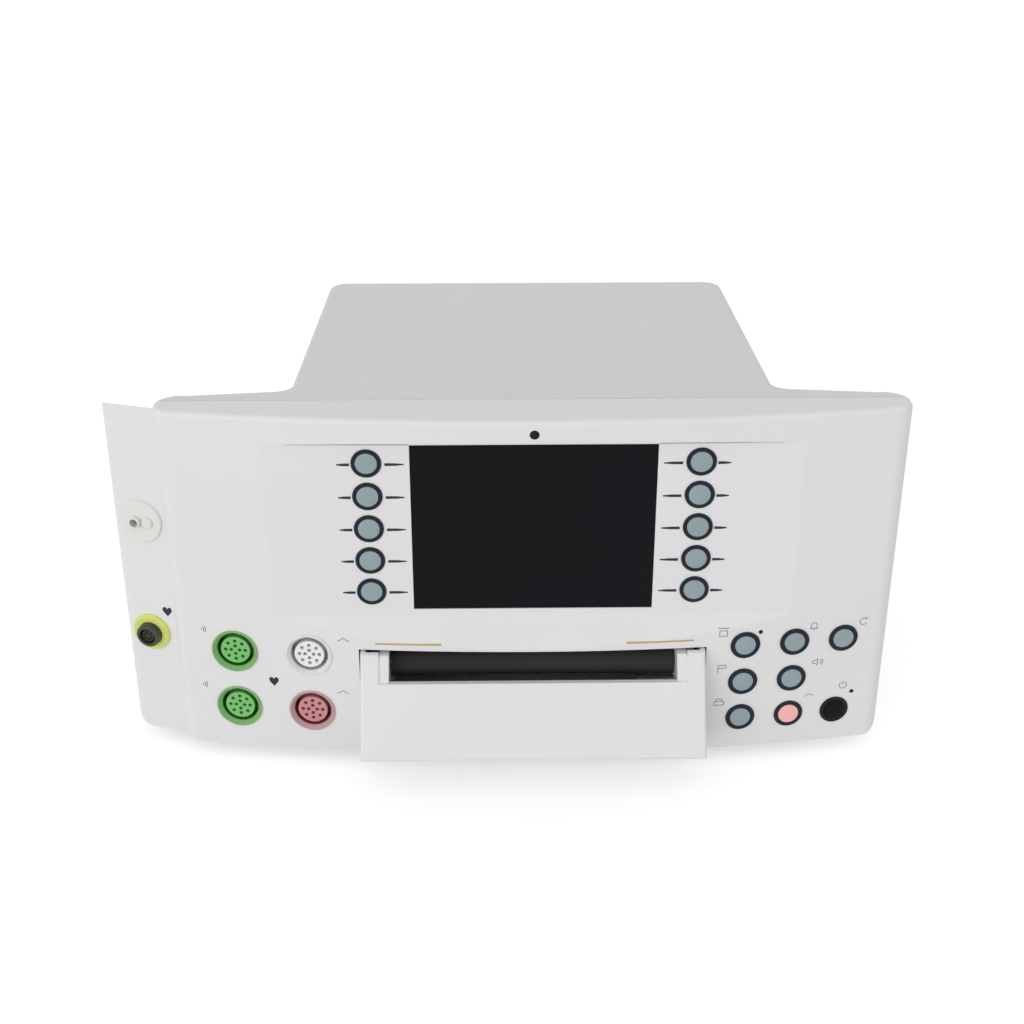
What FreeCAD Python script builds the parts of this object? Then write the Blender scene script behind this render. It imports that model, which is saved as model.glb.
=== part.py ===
import FreeCAD, Part
import math
import os

V = FreeCAD.Vector

# All sizes are in millimetres. While it is built, the console stands on z = 0, its middle
# plane is x = 0, and y = 0 is the flat panel round the screen, with +y to the rear.

# Bowed front moulding
FASCIA_HALF_WIDTH = 187.0
FASCIA_BASE_Z = 6.5
FASCIA_HEIGHT = 192.0
BOW_RADIUS = 1096.0
BOW_RISE = 8.1
TIP_DEPTH = 12.5
TIP_RADIUS = 9.0
CORNER_RADIUS = 9.0
EDGE_RADIUS = 2.5
WALL = 3.0
SEAM_WIDTH = 0.5
SEAM_DEPTH = 0.6

# Flat panel let into the bow
PANEL_TOP_BAND = 14.5
PANEL_LEDGE_ANGLE = 21.8
PANEL_LOW_MARGIN = 4.0
PANEL_FADE = 16.0

# Rear cover: two short wings and the hump
WING_KNEE_REACH = 15.0
WING_KNEE_DEPTH = 8.5
WING_ROOT_DEPTH = 14.0
WING_FILLET = 9.0
HUMP_HALF_WIDTH = 121.5
HUMP_REAR_HALF_WIDTH = 115.5
HUMP_DEPTH = 182.5
HUMP_CORNER_RADIUS = 10.0

# Base tray, feet and screws
BASE_THICKNESS = 3.0
FIT_GAP = 0.2
FOOT_RADIUS = 9.0
FOOT_CHAMFER = 1.0
FOOT_SIDE_INSET = 22.0
FOOT_FRONT_INSET = 13.5
FOOT_REAR_INSET = 26.0
SCREW_RADIUS = 1.5
SCREW_HEAD_RADIUS = 3.0
SCREW_HEAD_HEIGHT = 2.0
SCREW_LENGTH = 12.0
SCREW_FRONT_INSET = 39.5
SCREW_REAR_INSET = 45.0
SCREW_GAP = 0.1
BOSS_RADIUS = 5.0
BOSS_LENGTH = 30.0
BOSS_BITE = 0.5

# Side pod on the left end
POD_WIDTH = 27.0
POD_FACE_SETBACK = 6.8
POD_FACE_ANGLE = 16.5
POD_DEPTH = 57.5
POD_TOP_DROP = 1.3
POD_TOP_SLOPE = 35.0
POD_EDGE_RADIUS = 5.0

# Screen
SCREEN_TOP_MARGIN = 1.0
SCREEN_WIDTH = 122.0
SCREEN_HEIGHT = 92.0
LENS_SETBACK = 0.4
LENS_GAP = 0.15
LCD_WIDTH = 143.0
LCD_HEIGHT = 104.0
LCD_DEPTH = 10.0

# Keys
KEY_RADIUS = 5.4
KEY_GAP = 0.3
KEY_PROUD = 1.3
KEY_CROWN = 0.5
KEY_TRAVEL = 1.0
KEY_FLANGE = 1.5
KEY_FLANGE_THICKNESS = 1.5
BEZEL_WIDTH = 1.8
FUNCTION_BEZEL_WIDTH = 2.1
BEZEL_PROUD = 0.5
BEZEL_GAP = 0.03
SOFT_KEY_X = 82.2
SOFT_KEY_DROP = 10.5
SOFT_KEY_PITCH = 17.94
SOFT_KEY_COUNT = 5
FUNCTION_KEY_X = 110.2
FUNCTION_KEY_PITCH_X = 26.1
FUNCTION_KEY_TOP_Z = 69.7
FUNCTION_KEY_PITCH_Z = 22.2
POWER_KEY_X = 161.4

# Key boards and their switches
SWITCH_GAP = 0.5
SWITCH_SIZE = 6.0
SWITCH_HEIGHT = 3.5
SWITCH_PLUNGER = 3.0
SWITCH_PLUNGER_HEIGHT = 0.8
BOARD_THICKNESS = 1.6
BOARD_MARGIN = 8.0
BOARD_POST_RADIUS = 2.5
BOARD_POST_OFFSET = 11.8

# Lamps
STATUS_LAMP_DROP = 6.9
STATUS_LAMP_RADIUS = 2.2
INDICATOR_RADIUS = 1.0
FIRST_INDICATOR_OFFSET = (7.7, 7.2)
POWER_INDICATOR_OFFSET = (8.9, 10.4)
LAMP_PROUD = 0.4
LAMP_FLANGE = 1.0

# Round sockets on the fascia
SOCKET_LEFT_X = -155.1
SOCKET_RIGHT_X = -116.1
SOCKET_TOP_Z = 65.0
SOCKET_PITCH_Z = 34.0
SOCKET_RIM_RADIUS = 12.2
SOCKET_RIM_PROUD = 2.2
SOCKET_RIM_CHAMFER = 0.7
SOCKET_BORE_RADIUS = 9.7
SOCKET_SHELL = 1.7
SOCKET_DEPTH = 9.5
SOCKET_FLOOR = 2.5
SOCKET_KEY_WIDTH = 3.2
SOCKET_KEY_DEPTH = 1.1
SOCKET_FIT = 0.1
INSERT_RADIUS = 7.4
INSERT_PROUD = 1.0
PIN_HOLE_RADIUS = 0.95
PIN_CIRCLE_RADII = (5.0, 2.15)
PIN_COUNTS = (8, 4)

# Sockets on the pod
POD_SOCKET_ALONG = 14.2
POD_SOCKET_Z = 67.8
POD_COLLAR_RADIUS = 10.4
POD_COLLAR_PROUD = 2.0
POD_BARREL_RADIUS = 6.4
POD_BARREL_BORE = 4.4
POD_BARREL_PROUD = 6.0
POD_BARREL_DEPTH = 12.0
CUFF_PORT_ALONG = 13.4
CUFF_PORT_DROP = 65.0
CUFF_FLANGE_RADIUS = 11.8
CUFF_FLANGE_PROUD = 1.4
CUFF_NIPPLE_OFFSET = 2.1
CUFF_NIPPLE_RADIUS = 3.2
CUFF_NIPPLE_PROUD = 4.0
CUFF_BORE_RADIUS = 2.2
CUFF_LATCH_OFFSET = 4.3
CUFF_LATCH_RADIUS = 3.0
CUFF_LATCH_PROUD = 2.6
CUFF_DEPTH = 10.0

# Paper drawer
DRAWER_HALF_WIDTH = 89.0
DRAWER_GAP = 1.0
DRAWER_TOP_Z = 68.8
DRAWER_BOTTOM_Z = 20.0
DRAWER_TOP_Y = -8.5
DRAWER_LIP_Y = -35.0
DRAWER_REAR_Y = 6.0
DRAWER_WALL = 2.5
DRAWER_EDGE_RADIUS = 1.5
DRAWER_TRAVEL = 120.0
NOTCH_HALF_WIDTH = 79.6
NOTCH_Z = 55.5
SCALLOP_HALF_WIDTH = 48.0
SCALLOP_HEIGHT = 2.0
SCALLOP_SLOPE = 8.0

# Paper tray and its runners
TRAY_INNER_HALF = 74.4
TRAY_WALL = 5.0
TRAY_FLOOR = 2.5
TRAY_WALL_HEIGHT = 22.0
TRAY_END_HEIGHT = 18.0
TRAY_FRONT_WALL_Y = 18.0
TRAY_PAPER_LENGTH = 106.0
TRAY_END_WALL = 2.5
TONGUE_ENGAGEMENT = 20.5
TRAY_TAIL_HEIGHT = 14.0
CHEEK_SETBACK = 1.0
CHEEK_TOP_GAP = 1.0
TONGUE_REACH = 3.0
TONGUE_HEIGHT = 4.0
TONGUE_Z = 26.0
RUNNER_GAP = 0.4
RUNNER_WALL = 2.0
RUNNER_SETBACK = 1.5
RUNNER_TAIL = 6.0
RUNNER_FOOT = 6.0

# Paper drive
ROLLER_RADIUS = 7.0
ROLLER_Y = 6.0
ROLLER_Z = 56.0
ROLLER_END_GAP = 0.5
SHAFT_RADIUS = 2.5
SHAFT_GAP = 0.05
PRESS_GAP = 0.02
GEAR_MODULE = 1.0
GEAR_TEETH = 20
PINION_TEETH = 10
GEAR_WIDTH = 4.0
GEAR_SIDE_GAP = 0.6
MESH_GAP = 0.12
MESH_ANGLE = 238.0
TOOTH_FILL = 0.84
TOOTH_ROOT_SPREAD = 1.6
TOOTH_TIP_SPREAD = 0.45
ADDENDUM = 0.9
DEDENDUM = 1.2
MOTOR_RADIUS = 7.2
MOTOR_LENGTH = 20.0
MOTOR_SHAFT_RADIUS = 1.0
MOTOR_BORE_DEPTH = 10.0

# Print head and the bridge that carries it
HEAD_GAP = 0.4
HEAD_THICKNESS = 3.0
HEAD_HEIGHT = 20.0
SINK_DEPTH = 6.0
FIN_COUNT = 12
FIN_WIDTH = 3.0
BRIDGE_THICKNESS = 2.0
BRIDGE_FLANGE = 12.0
BRIDGE_CLEARANCE = 2.0
BRIDGE_SIDE_GAP = 3.0
BRIDGE_TOP_Z = 78.0

# Electronics in the hump
MAIN_BOARD_Z = 85.0
MAIN_BOARD_SIDE_GAP = 6.8
MAIN_BOARD_FRONT_GAP = 23.5
MAIN_BOARD_REAR_GAP = 6.0
POST_RADIUS = 4.0
POST_INSET = 6.0
CHIP_HEIGHT = 3.0
MAIN_CHIPS = ((-20.0, 90.0, 28.0, 28.0), (-70.0, 70.0, 18.0, 40.0), (40.0, 120.0, 24.0, 16.0))
SUPPLY_WIDTH = 84.0
SUPPLY_DEPTH = 26.0
SUPPLY_HEIGHT = 48.0
SUPPLY_SIDE_GAP = 4.0
INLET_INSET = 45.5
INLET_Z = 42.0
INLET_WIDTH = 27.0
INLET_HEIGHT = 20.0
INLET_DEPTH = 22.0
INLET_FLANGE = 3.0
INLET_FLANGE_THICKNESS = 1.5
INLET_CAVITY_DEPTH = 16.0
INLET_PIN_RADIUS = 1.6
DATA_SOCKET_INSET = 53.5
DATA_SOCKET_PITCH = 40.0
DATA_SOCKET_COUNT = 2
DATA_SOCKET_WIDTH = 30.0
DATA_SOCKET_HEIGHT = 12.0
DATA_SOCKET_DEPTH = 14.0
DATA_CAVITY_DEPTH = 6.0
SPEAKER_INSET = 53.5
SPEAKER_DROP = 50.0
SPEAKER_RADIUS = 26.0
SPEAKER_DEPTH = 18.0
SPEAKER_MAGNET_RADIUS = 14.0
GRILLE_BARS = 7
SLOT_WIDTH = 3.0
SLOT_PITCH = 6.5
VENT_COUNT = 10
VENT_HEIGHT = 34.0
VENT_INSET = 67.5

# Places that follow from the sizes above
FASCIA_TOP_Z = FASCIA_BASE_Z + FASCIA_HEIGHT
BASE_TOP_Z = FASCIA_BASE_Z + BASE_THICKNESS
TIP_Y = BOW_RADIUS - BOW_RISE - math.sqrt(BOW_RADIUS**2 - FASCIA_HALF_WIDTH**2)
PARTING_Y = TIP_Y + TIP_DEPTH
WING_KNEE_Y = PARTING_Y + WING_KNEE_DEPTH
WING_ROOT_Y = PARTING_Y + WING_ROOT_DEPTH
HUMP_REAR_Y = PARTING_Y + HUMP_DEPTH
PANEL_HIGH_Z = FASCIA_TOP_Z - PANEL_TOP_BAND
SCREEN_Z = PANEL_HIGH_Z - SCREEN_TOP_MARGIN - SCREEN_HEIGHT / 2
PANEL_LOW_Z = SCREEN_Z - SCREEN_HEIGHT / 2 - PANEL_LOW_MARGIN
SOFT_KEY_TOP_Z = PANEL_HIGH_Z - SOFT_KEY_DROP
STATUS_LAMP_Z = FASCIA_TOP_Z - STATUS_LAMP_DROP
CUFF_PORT_Z = FASCIA_TOP_Z - CUFF_PORT_DROP
SPEAKER_Z = FASCIA_TOP_Z - SPEAKER_DROP
POD_FACE_Y = TIP_Y + POD_FACE_SETBACK
POD_REAR_Y = PARTING_Y + POD_DEPTH
LEFT_END = -FASCIA_HALF_WIDTH - POD_WIDTH
RUNNER_START_Y = PARTING_Y + RUNNER_SETBACK
MAIN_BOARD_FRONT_Y = PARTING_Y + MAIN_BOARD_FRONT_GAP
SPEAKER_X = HUMP_REAR_HALF_WIDTH - SPEAKER_INSET
INLET_X = HUMP_REAR_HALF_WIDTH - INLET_INSET
VENT_X = VENT_INSET - HUMP_REAR_HALF_WIDTH
FAR = 1000.0


def box(x0, x1, y0, y1, z0, z1):
    return Part.makeBox(x1 - x0, y1 - y0, z1 - z0, V(x0, y0, z0))


def fuse(shapes):
    return shapes[0].multiFuse(shapes[1:]).removeSplitter()


def cut(shape, tools):
    return shape.cut(tools).removeSplitter()


def plan_face(edges):
    return Part.Face(Part.Wire(Part.__sortEdges__(edges)))


def polygon(points):
    return Part.Face(Part.makePolygon(points + points[:1]))


def line(a, b):
    return Part.makeLine(a, b)


def arc(a, b, c):
    return Part.Arc(a, b, c).toShape()


def turned(edges):
    """A solid of revolution about the depth axis from edges in the radius-depth plane."""
    return Part.makeSolid(plan_face(edges).revolve(V(), V(0, 0, 1), 360).Shells[0])


def at(radius, depth):
    return V(radius, 0, depth)


def turned_outline(points):
    closed = points + points[:1]
    return turned([line(closed[i], closed[i + 1]) for i in range(len(points))])


def disc(radius, start, stop):
    return Part.makeCylinder(radius, stop - start, V(0, 0, start))


def block(width, height, start, stop):
    return Part.makeBox(width, height, stop - start, V(-width / 2, -height / 2, start))


def placed(shape, seat):
    moved = shape.copy()
    moved.Placement = seat.multiply(shape.Placement)
    return moved


def group(shapes):
    return Part.makeCompound(shapes)


def facing_seat(point, angle):
    """Local frame on a vertical face: x to the right, y down, z into the console."""
    turn = math.radians(angle)
    right = V(math.cos(turn), math.sin(turn), 0)
    inward = V(-math.sin(turn), math.cos(turn), 0)
    return FreeCAD.Placement(point, FreeCAD.Rotation(right, V(0, 0, -1), inward, "ZXY"))


def bow_y(x):
    return BOW_RADIUS - BOW_RISE - math.sqrt(BOW_RADIUS**2 - x**2)


def bow_seat(x, z):
    return facing_seat(V(x, bow_y(x), z), math.degrees(math.asin(x / BOW_RADIUS)))


def panel_seat(x, z):
    return facing_seat(V(x, 0, z), 0)


def pod_seat(along, z):
    turn = math.radians(POD_FACE_ANGLE)
    x = -FASCIA_HALF_WIDTH - along * math.cos(turn)
    y = POD_FACE_Y + along * math.sin(turn)
    return facing_seat(V(x, y, z), -POD_FACE_ANGLE)


# Outer forms of the console
def front_profile(left, right, low, high, radius):
    """Prism along y whose front view is a rectangle with its two lower corners rounded."""
    bend = radius * (1 - math.sqrt(0.5))
    corner_l = arc(V(left, 0, low + radius), V(left + bend, 0, low + bend), V(left + radius, 0, low))
    corner_r = arc(V(right - radius, 0, low), V(right - bend, 0, low + bend), V(right, 0, low + radius))
    edges = [
        corner_l,
        line(V(left + radius, 0, low), V(right - radius, 0, low)),
        corner_r,
        line(V(right, 0, low + radius), V(right, 0, high)),
        line(V(right, 0, high), V(left, 0, high)),
        line(V(left, 0, high), V(left, 0, low + radius)),
    ]
    prism = plan_face(edges).extrude(V(0, 2 * FAR, 0))
    prism.translate(V(0, -FAR, 0))
    return prism


def bow_solid(inset, back_y):
    """The fascia's bulk: bowed front, rounded tips, flat back at back_y, drawn in by inset."""
    half = FASCIA_HALF_WIDTH - inset
    radius = BOW_RADIUS - inset
    tip_y = BOW_RADIUS - BOW_RISE - math.sqrt(radius**2 - half**2)
    edges = [
        arc(V(-half, tip_y, 0), V(0, inset - BOW_RISE, 0), V(half, tip_y, 0)),
        line(V(half, tip_y, 0), V(half, back_y, 0)),
        line(V(half, back_y, 0), V(-half, back_y, 0)),
        line(V(-half, back_y, 0), V(-half, tip_y, 0)),
    ]
    low = FASCIA_BASE_Z + inset
    high = FASCIA_TOP_Z - inset
    solid = plan_face(edges).extrude(V(0, 0, high - low))
    solid.translate(V(0, 0, low))
    tips = [e for e in solid.Edges if is_upright(e) and e.CenterOfMass.y < back_y - inset / 2 - FIT_GAP]
    solid = solid.makeFillet(TIP_RADIUS - inset, tips)
    return solid.common(front_profile(-half, half, low, high, CORNER_RADIUS - inset))


def is_upright(edge):
    bounds = edge.BoundBox
    return bounds.ZLength > bounds.XLength + bounds.YLength


def panel_recess(inset):
    """Everything before the flat panel, under a crisp raked ledge, with a faded lower edge."""
    low = PANEL_LOW_Z - inset
    high = PANEL_HIGH_Z + inset
    fade = PANEL_FADE / BOW_RISE
    deep = 3 * BOW_RISE
    rise = math.tan(math.radians(PANEL_LEDGE_ANGLE))
    outline = [
        V(-FAR, inset, low),
        V(-FAR, inset, high),
        V(-FAR, -deep, high + rise * (deep + inset)),
        V(-FAR, -deep, low - deep * fade),
    ]
    return polygon(outline).extrude(V(2 * FAR, 0, 0))


def rounded_top(solid, radius, keep_y):
    """Round the upper outer edges, leaving the edge that lies along keep_y sharp."""
    top = solid.BoundBox.ZMax
    edges = []
    for edge in solid.Edges:
        bounds = edge.BoundBox
        on_top = abs(bounds.ZMin - top) < FIT_GAP / 2 and abs(bounds.ZMax - top) < FIT_GAP / 2
        kept = bounds.YLength < FIT_GAP / 2 and abs(bounds.YMin - keep_y) < FIT_GAP / 2
        if on_top and not kept:
            edges.append(edge)
    return solid.makeFillet(radius, edges)


def fascia_bulk():
    return rounded_top(bow_solid(0, PARTING_Y), EDGE_RADIUS, PARTING_Y)


def cover_plan(front_y):
    """Plan of the rear cover: wings that meet the fascia, a concave root and the tapering hump."""
    tip = FASCIA_HALF_WIDTH
    knee_x = FASCIA_HALF_WIDTH - WING_KNEE_REACH
    bend = math.sqrt(0.5)
    knee_mid = V(tip - WING_KNEE_REACH * (1 - bend), PARTING_Y + (WING_KNEE_Y - PARTING_Y) * bend, 0)
    right = [
        V(tip, PARTING_Y, 0),
        V(knee_x, WING_KNEE_Y, 0),
        V(HUMP_HALF_WIDTH, WING_ROOT_Y, 0),
        V(HUMP_REAR_HALF_WIDTH, HUMP_REAR_Y, 0),
    ]
    left = [V(-p.x, p.y, 0) for p in right]
    edges = [
        line(V(-tip, front_y, 0), V(tip, front_y, 0)),
        arc(right[0], knee_mid, right[1]),
        line(right[1], right[2]),
        line(right[2], right[3]),
        line(right[3], left[3]),
        line(left[3], left[2]),
        line(left[2], left[1]),
        arc(left[1], V(-knee_mid.x, knee_mid.y, 0), left[0]),
    ]
    if front_y < PARTING_Y:
        edges.append(line(V(tip, front_y, 0), right[0]))
        edges.append(line(left[0], V(-tip, front_y, 0)))
    return plan_face(edges)


def upright_edges(solid, y, half_width=None):
    found = []
    for edge in solid.Edges:
        place = edge.CenterOfMass
        level = abs(place.y - y) < FIT_GAP
        wide = half_width is None or abs(abs(place.x) - half_width) < FIT_GAP
        if is_upright(edge) and level and wide:
            found.append(edge)
    return found


def cover_solid(front_y, inset, low, high):
    """The rear cover's bulk from low to high, drawn in by inset all round."""
    solid = cover_plan(front_y).extrude(V(0, 0, high - low))
    solid.translate(V(0, 0, low))
    solid = solid.makeFillet(WING_FILLET, upright_edges(solid, WING_ROOT_Y, HUMP_HALF_WIDTH))
    solid = solid.makeFillet(HUMP_CORNER_RADIUS, upright_edges(solid, HUMP_REAR_Y))
    if inset == 0:
        return solid
    floor = [f for f in solid.Faces if abs(f.CenterOfMass.z - low) < FIT_GAP / 2][0]
    return floor.makeOffset2D(-inset).extrude(V(0, 0, high - low))


def console_profile(inset):
    half = FASCIA_HALF_WIDTH - inset
    return front_profile(-half, half, FASCIA_BASE_Z + inset, FASCIA_TOP_Z, CORNER_RADIUS - inset)


def cover_bulk():
    solid = cover_solid(PARTING_Y, 0, FASCIA_BASE_Z, FASCIA_TOP_Z)
    return rounded_top(solid, EDGE_RADIUS, PARTING_Y).common(console_profile(0))


def base_plan(inset, low, high):
    """The hump's footprint without the wings, drawn in by inset."""
    half = max(HUMP_HALF_WIDTH, HUMP_REAR_HALF_WIDTH) - inset
    footprint = box(-half, half, -FAR, FAR, low, high)
    return cover_solid(PARTING_Y - WALL, inset, low, high).common(footprint)


def seam_groove():
    """Ring round the parting plane, half in the fascia and half in the rear cover."""
    backs = [f for f in fascia_bulk().Faces if f.BoundBox.YMin > PARTING_Y - FIT_GAP]
    mouth = backs[0]
    ring = mouth.makeOffset2D(SEAM_DEPTH).cut(mouth.makeOffset2D(-SEAM_DEPTH))
    groove = ring.extrude(V(0, SEAM_WIDTH, 0))
    groove.translate(V(0, -SEAM_WIDTH / 2, 0))
    return groove


def hump_wall_x(y):
    taper = (HUMP_HALF_WIDTH - HUMP_REAR_HALF_WIDTH) / (HUMP_REAR_Y - WING_ROOT_Y)
    return HUMP_HALF_WIDTH - taper * (y - WING_ROOT_Y)


# Where the keys, sockets and lamps stand
def soft_key_seats():
    seats = {}
    for side, sign in (("left", -1), ("right", 1)):
        for k in range(SOFT_KEY_COUNT):
            z = SOFT_KEY_TOP_Z - k * SOFT_KEY_PITCH
            seats[f"soft_key_{side}_{k + 1}"] = panel_seat(sign * SOFT_KEY_X, z)
    return seats


def function_key_places():
    """Column and row offsets of the function keys; the last place is the power key's."""
    places = []
    for row, columns in enumerate((3, 2, 2)):
        for column in range(columns):
            x = FUNCTION_KEY_X + column * FUNCTION_KEY_PITCH_X
            places.append((x, FUNCTION_KEY_TOP_Z - row * FUNCTION_KEY_PITCH_Z))
    places.append((POWER_KEY_X, FUNCTION_KEY_TOP_Z - 2 * FUNCTION_KEY_PITCH_Z))
    return places


def function_key_seats():
    seats = {}
    for k, (x, z) in enumerate(function_key_places()[:-1]):
        seats[f"function_key_{k + 1}"] = bow_seat(x, z)
    seats["power_key"] = bow_seat(*function_key_places()[-1])
    return seats


def socket_seats():
    low_z = SOCKET_TOP_Z - SOCKET_PITCH_Z
    return [
        bow_seat(SOCKET_LEFT_X, SOCKET_TOP_Z),
        bow_seat(SOCKET_LEFT_X, low_z),
        bow_seat(SOCKET_RIGHT_X, SOCKET_TOP_Z),
        bow_seat(SOCKET_RIGHT_X, low_z),
    ]


def indicator_seats():
    places = function_key_places()
    pairs = ((places[0], FIRST_INDICATOR_OFFSET), (places[-1], POWER_INDICATOR_OFFSET))
    return [bow_seat(key[0] + offset[0], key[1] + offset[1]) for key, offset in pairs]


# Keys
KEY_HOLE_RADIUS = KEY_RADIUS + KEY_GAP
KEY_FLANGE_RADIUS = KEY_RADIUS + KEY_FLANGE
KEY_FLANGE_START = WALL + KEY_GAP
KEY_BACK = KEY_FLANGE_START + KEY_FLANGE_THICKNESS
SWITCH_TOP = KEY_BACK + KEY_TRAVEL + SWITCH_GAP
BOARD_FRONT = SWITCH_TOP + SWITCH_HEIGHT


def key_cap():
    """Domed cap with a retaining flange behind the wall, which presses the switch."""
    edge = KEY_PROUD - KEY_CROWN
    half = KEY_RADIUS / 2
    rise = KEY_CROWN * (1 - (half / KEY_RADIUS) ** 2)
    outline = [
        at(KEY_RADIUS, -edge),
        at(KEY_RADIUS, KEY_FLANGE_START),
        at(KEY_FLANGE_RADIUS, KEY_FLANGE_START),
        at(KEY_FLANGE_RADIUS, KEY_BACK),
        at(0, KEY_BACK),
        at(0, -KEY_PROUD),
    ]
    edges = [line(outline[i], outline[i + 1]) for i in range(len(outline) - 1)]
    edges.append(arc(outline[-1], at(half, -edge - rise), outline[0]))
    return turned(edges)


def key_bezel(width):
    """Thin ring that lies on the face round the key's hole."""
    front = -BEZEL_GAP - BEZEL_PROUD
    return turned_outline([
        at(KEY_HOLE_RADIUS, front),
        at(KEY_HOLE_RADIUS + width, front),
        at(KEY_HOLE_RADIUS + width, -BEZEL_GAP),
        at(KEY_HOLE_RADIUS, -BEZEL_GAP),
    ])


def key_bezels(width, seats):
    return group([placed(key_bezel(width), seat) for seat in seats.values()])


def key_hole():
    return disc(KEY_HOLE_RADIUS, -BOW_RISE, 2 * WALL)


# Lamps
def lamp_lens(radius):
    dome = LAMP_PROUD
    back = WALL + FIT_GAP
    outline = [
        at(radius, -dome / 2),
        at(radius, back),
        at(radius + LAMP_FLANGE, back),
        at(radius + LAMP_FLANGE, back + LAMP_FLANGE),
        at(0, back + LAMP_FLANGE),
        at(0, -dome),
    ]
    return turned_outline(outline)


def lamp_hole(radius):
    """Hole for the lens, and room for its flange where the ledge stands behind the wall."""
    front = WALL + FIT_GAP / 2
    rear = WALL + LAMP_FLANGE + 2 * FIT_GAP
    pocket = disc(radius + LAMP_FLANGE + FIT_GAP, front, rear)
    return fuse([disc(radius + FIT_GAP, -BOW_RISE, 2 * WALL), pocket])


# Round sockets: a coloured collar with a keyed groove round a pin insert
def socket_collar():
    rim = -SOCKET_RIM_PROUD
    shell = SOCKET_BORE_RADIUS + SOCKET_SHELL
    body = turned_outline([
        at(SOCKET_BORE_RADIUS, rim),
        at(SOCKET_RIM_RADIUS - SOCKET_RIM_CHAMFER, rim),
        at(SOCKET_RIM_RADIUS, rim + SOCKET_RIM_CHAMFER),
        at(SOCKET_RIM_RADIUS, 0),
        at(shell, 0),
        at(shell, SOCKET_DEPTH + SOCKET_FLOOR),
        at(0, SOCKET_DEPTH + SOCKET_FLOOR),
        at(0, SOCKET_DEPTH),
        at(SOCKET_BORE_RADIUS, SOCKET_DEPTH),
    ])
    keyway = block(SOCKET_KEY_WIDTH, 2 * SOCKET_KEY_DEPTH, rim, SOCKET_DEPTH)
    keyway.translate(V(0, -SOCKET_BORE_RADIUS, 0))
    return cut(body, [keyway])


def socket_insert():
    body = disc(INSERT_RADIUS, -INSERT_PROUD, SOCKET_DEPTH)
    holes = []
    for radius, count in zip(PIN_CIRCLE_RADII, PIN_COUNTS):
        for k in range(count):
            turn = 2 * math.pi * k / count
            hole = disc(PIN_HOLE_RADIUS, -2 * INSERT_PROUD, 2 * SOCKET_DEPTH)
            hole.translate(V(radius * math.cos(turn), radius * math.sin(turn), 0))
            holes.append(hole)
    return cut(body, holes)


def socket_hole():
    return disc(SOCKET_BORE_RADIUS + SOCKET_SHELL + SOCKET_FIT, -BOW_RISE, SOCKET_DEPTH)


# Front moulding
def drawer_opening():
    half = DRAWER_HALF_WIDTH + DRAWER_GAP
    return box(-half, half, -FAR, PARTING_Y, DRAWER_BOTTOM_Z - DRAWER_GAP, DRAWER_TOP_Z + DRAWER_GAP)


def screen_opening():
    half = SCREEN_WIDTH / 2
    low = SCREEN_Z - SCREEN_HEIGHT / 2
    return box(-half, half, -FAR, PARTING_Y, low, low + SCREEN_HEIGHT)


def soft_board_posts():
    middle = SOFT_KEY_TOP_Z - (SOFT_KEY_COUNT - 1) * SOFT_KEY_PITCH / 2
    reach = (SOFT_KEY_COUNT - 2) * SOFT_KEY_PITCH / 2
    posts = []
    for sign in (-1, 1):
        for step in (-1, 1):
            seat = panel_seat(sign * (SOFT_KEY_X + BOARD_POST_OFFSET), middle + step * reach)
            posts.append(placed(disc(BOARD_POST_RADIUS, WALL / 2, BOARD_FRONT), seat))
    return posts


def function_board_seat():
    return bow_seat(FUNCTION_KEY_X + FUNCTION_KEY_PITCH_X, FUNCTION_KEY_TOP_Z - FUNCTION_KEY_PITCH_Z)


def function_board_posts():
    posts = []
    for side in (-0.5, 0.5):
        for step in (-0.5, 0.5):
            post = disc(BOARD_POST_RADIUS, WALL / 2, BOARD_FRONT)
            post.translate(V(side * FUNCTION_KEY_PITCH_X, step * FUNCTION_KEY_PITCH_Z, 0))
            posts.append(placed(post, function_board_seat()))
    return posts


def front_fascia():
    cavity = bow_solid(WALL, PARTING_Y + WALL).cut(panel_recess(WALL))
    shell = fascia_bulk().cut([panel_recess(0), cavity])
    shell = fuse([shell] + soft_board_posts() + function_board_posts())
    holes = [drawer_opening(), screen_opening(), seam_groove()]
    for seat in list(soft_key_seats().values()) + list(function_key_seats().values()):
        holes.append(placed(key_hole(), seat))
    for seat in socket_seats():
        holes.append(placed(socket_hole(), seat))
    holes.append(placed(lamp_hole(STATUS_LAMP_RADIUS), bow_seat(0, STATUS_LAMP_Z)))
    for seat in indicator_seats():
        holes.append(placed(lamp_hole(INDICATOR_RADIUS), seat))
    return cut(shell, holes)


# Screen
def screen_lens():
    half = SCREEN_WIDTH / 2 - LENS_GAP
    tall = SCREEN_HEIGHT / 2 - LENS_GAP
    return box(-half, half, LENS_SETBACK, WALL, SCREEN_Z - tall, SCREEN_Z + tall)


def lcd_module():
    half = LCD_WIDTH / 2
    tall = LCD_HEIGHT / 2
    return box(-half, half, WALL, WALL + LCD_DEPTH, SCREEN_Z - tall, SCREEN_Z + tall)


# Key boards and switches
def tact_switch():
    shoulder = SWITCH_TOP + SWITCH_PLUNGER_HEIGHT
    plunger = block(SWITCH_PLUNGER, SWITCH_PLUNGER, SWITCH_TOP, shoulder)
    return fuse([block(SWITCH_SIZE, SWITCH_SIZE, shoulder, BOARD_FRONT), plunger])


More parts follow.
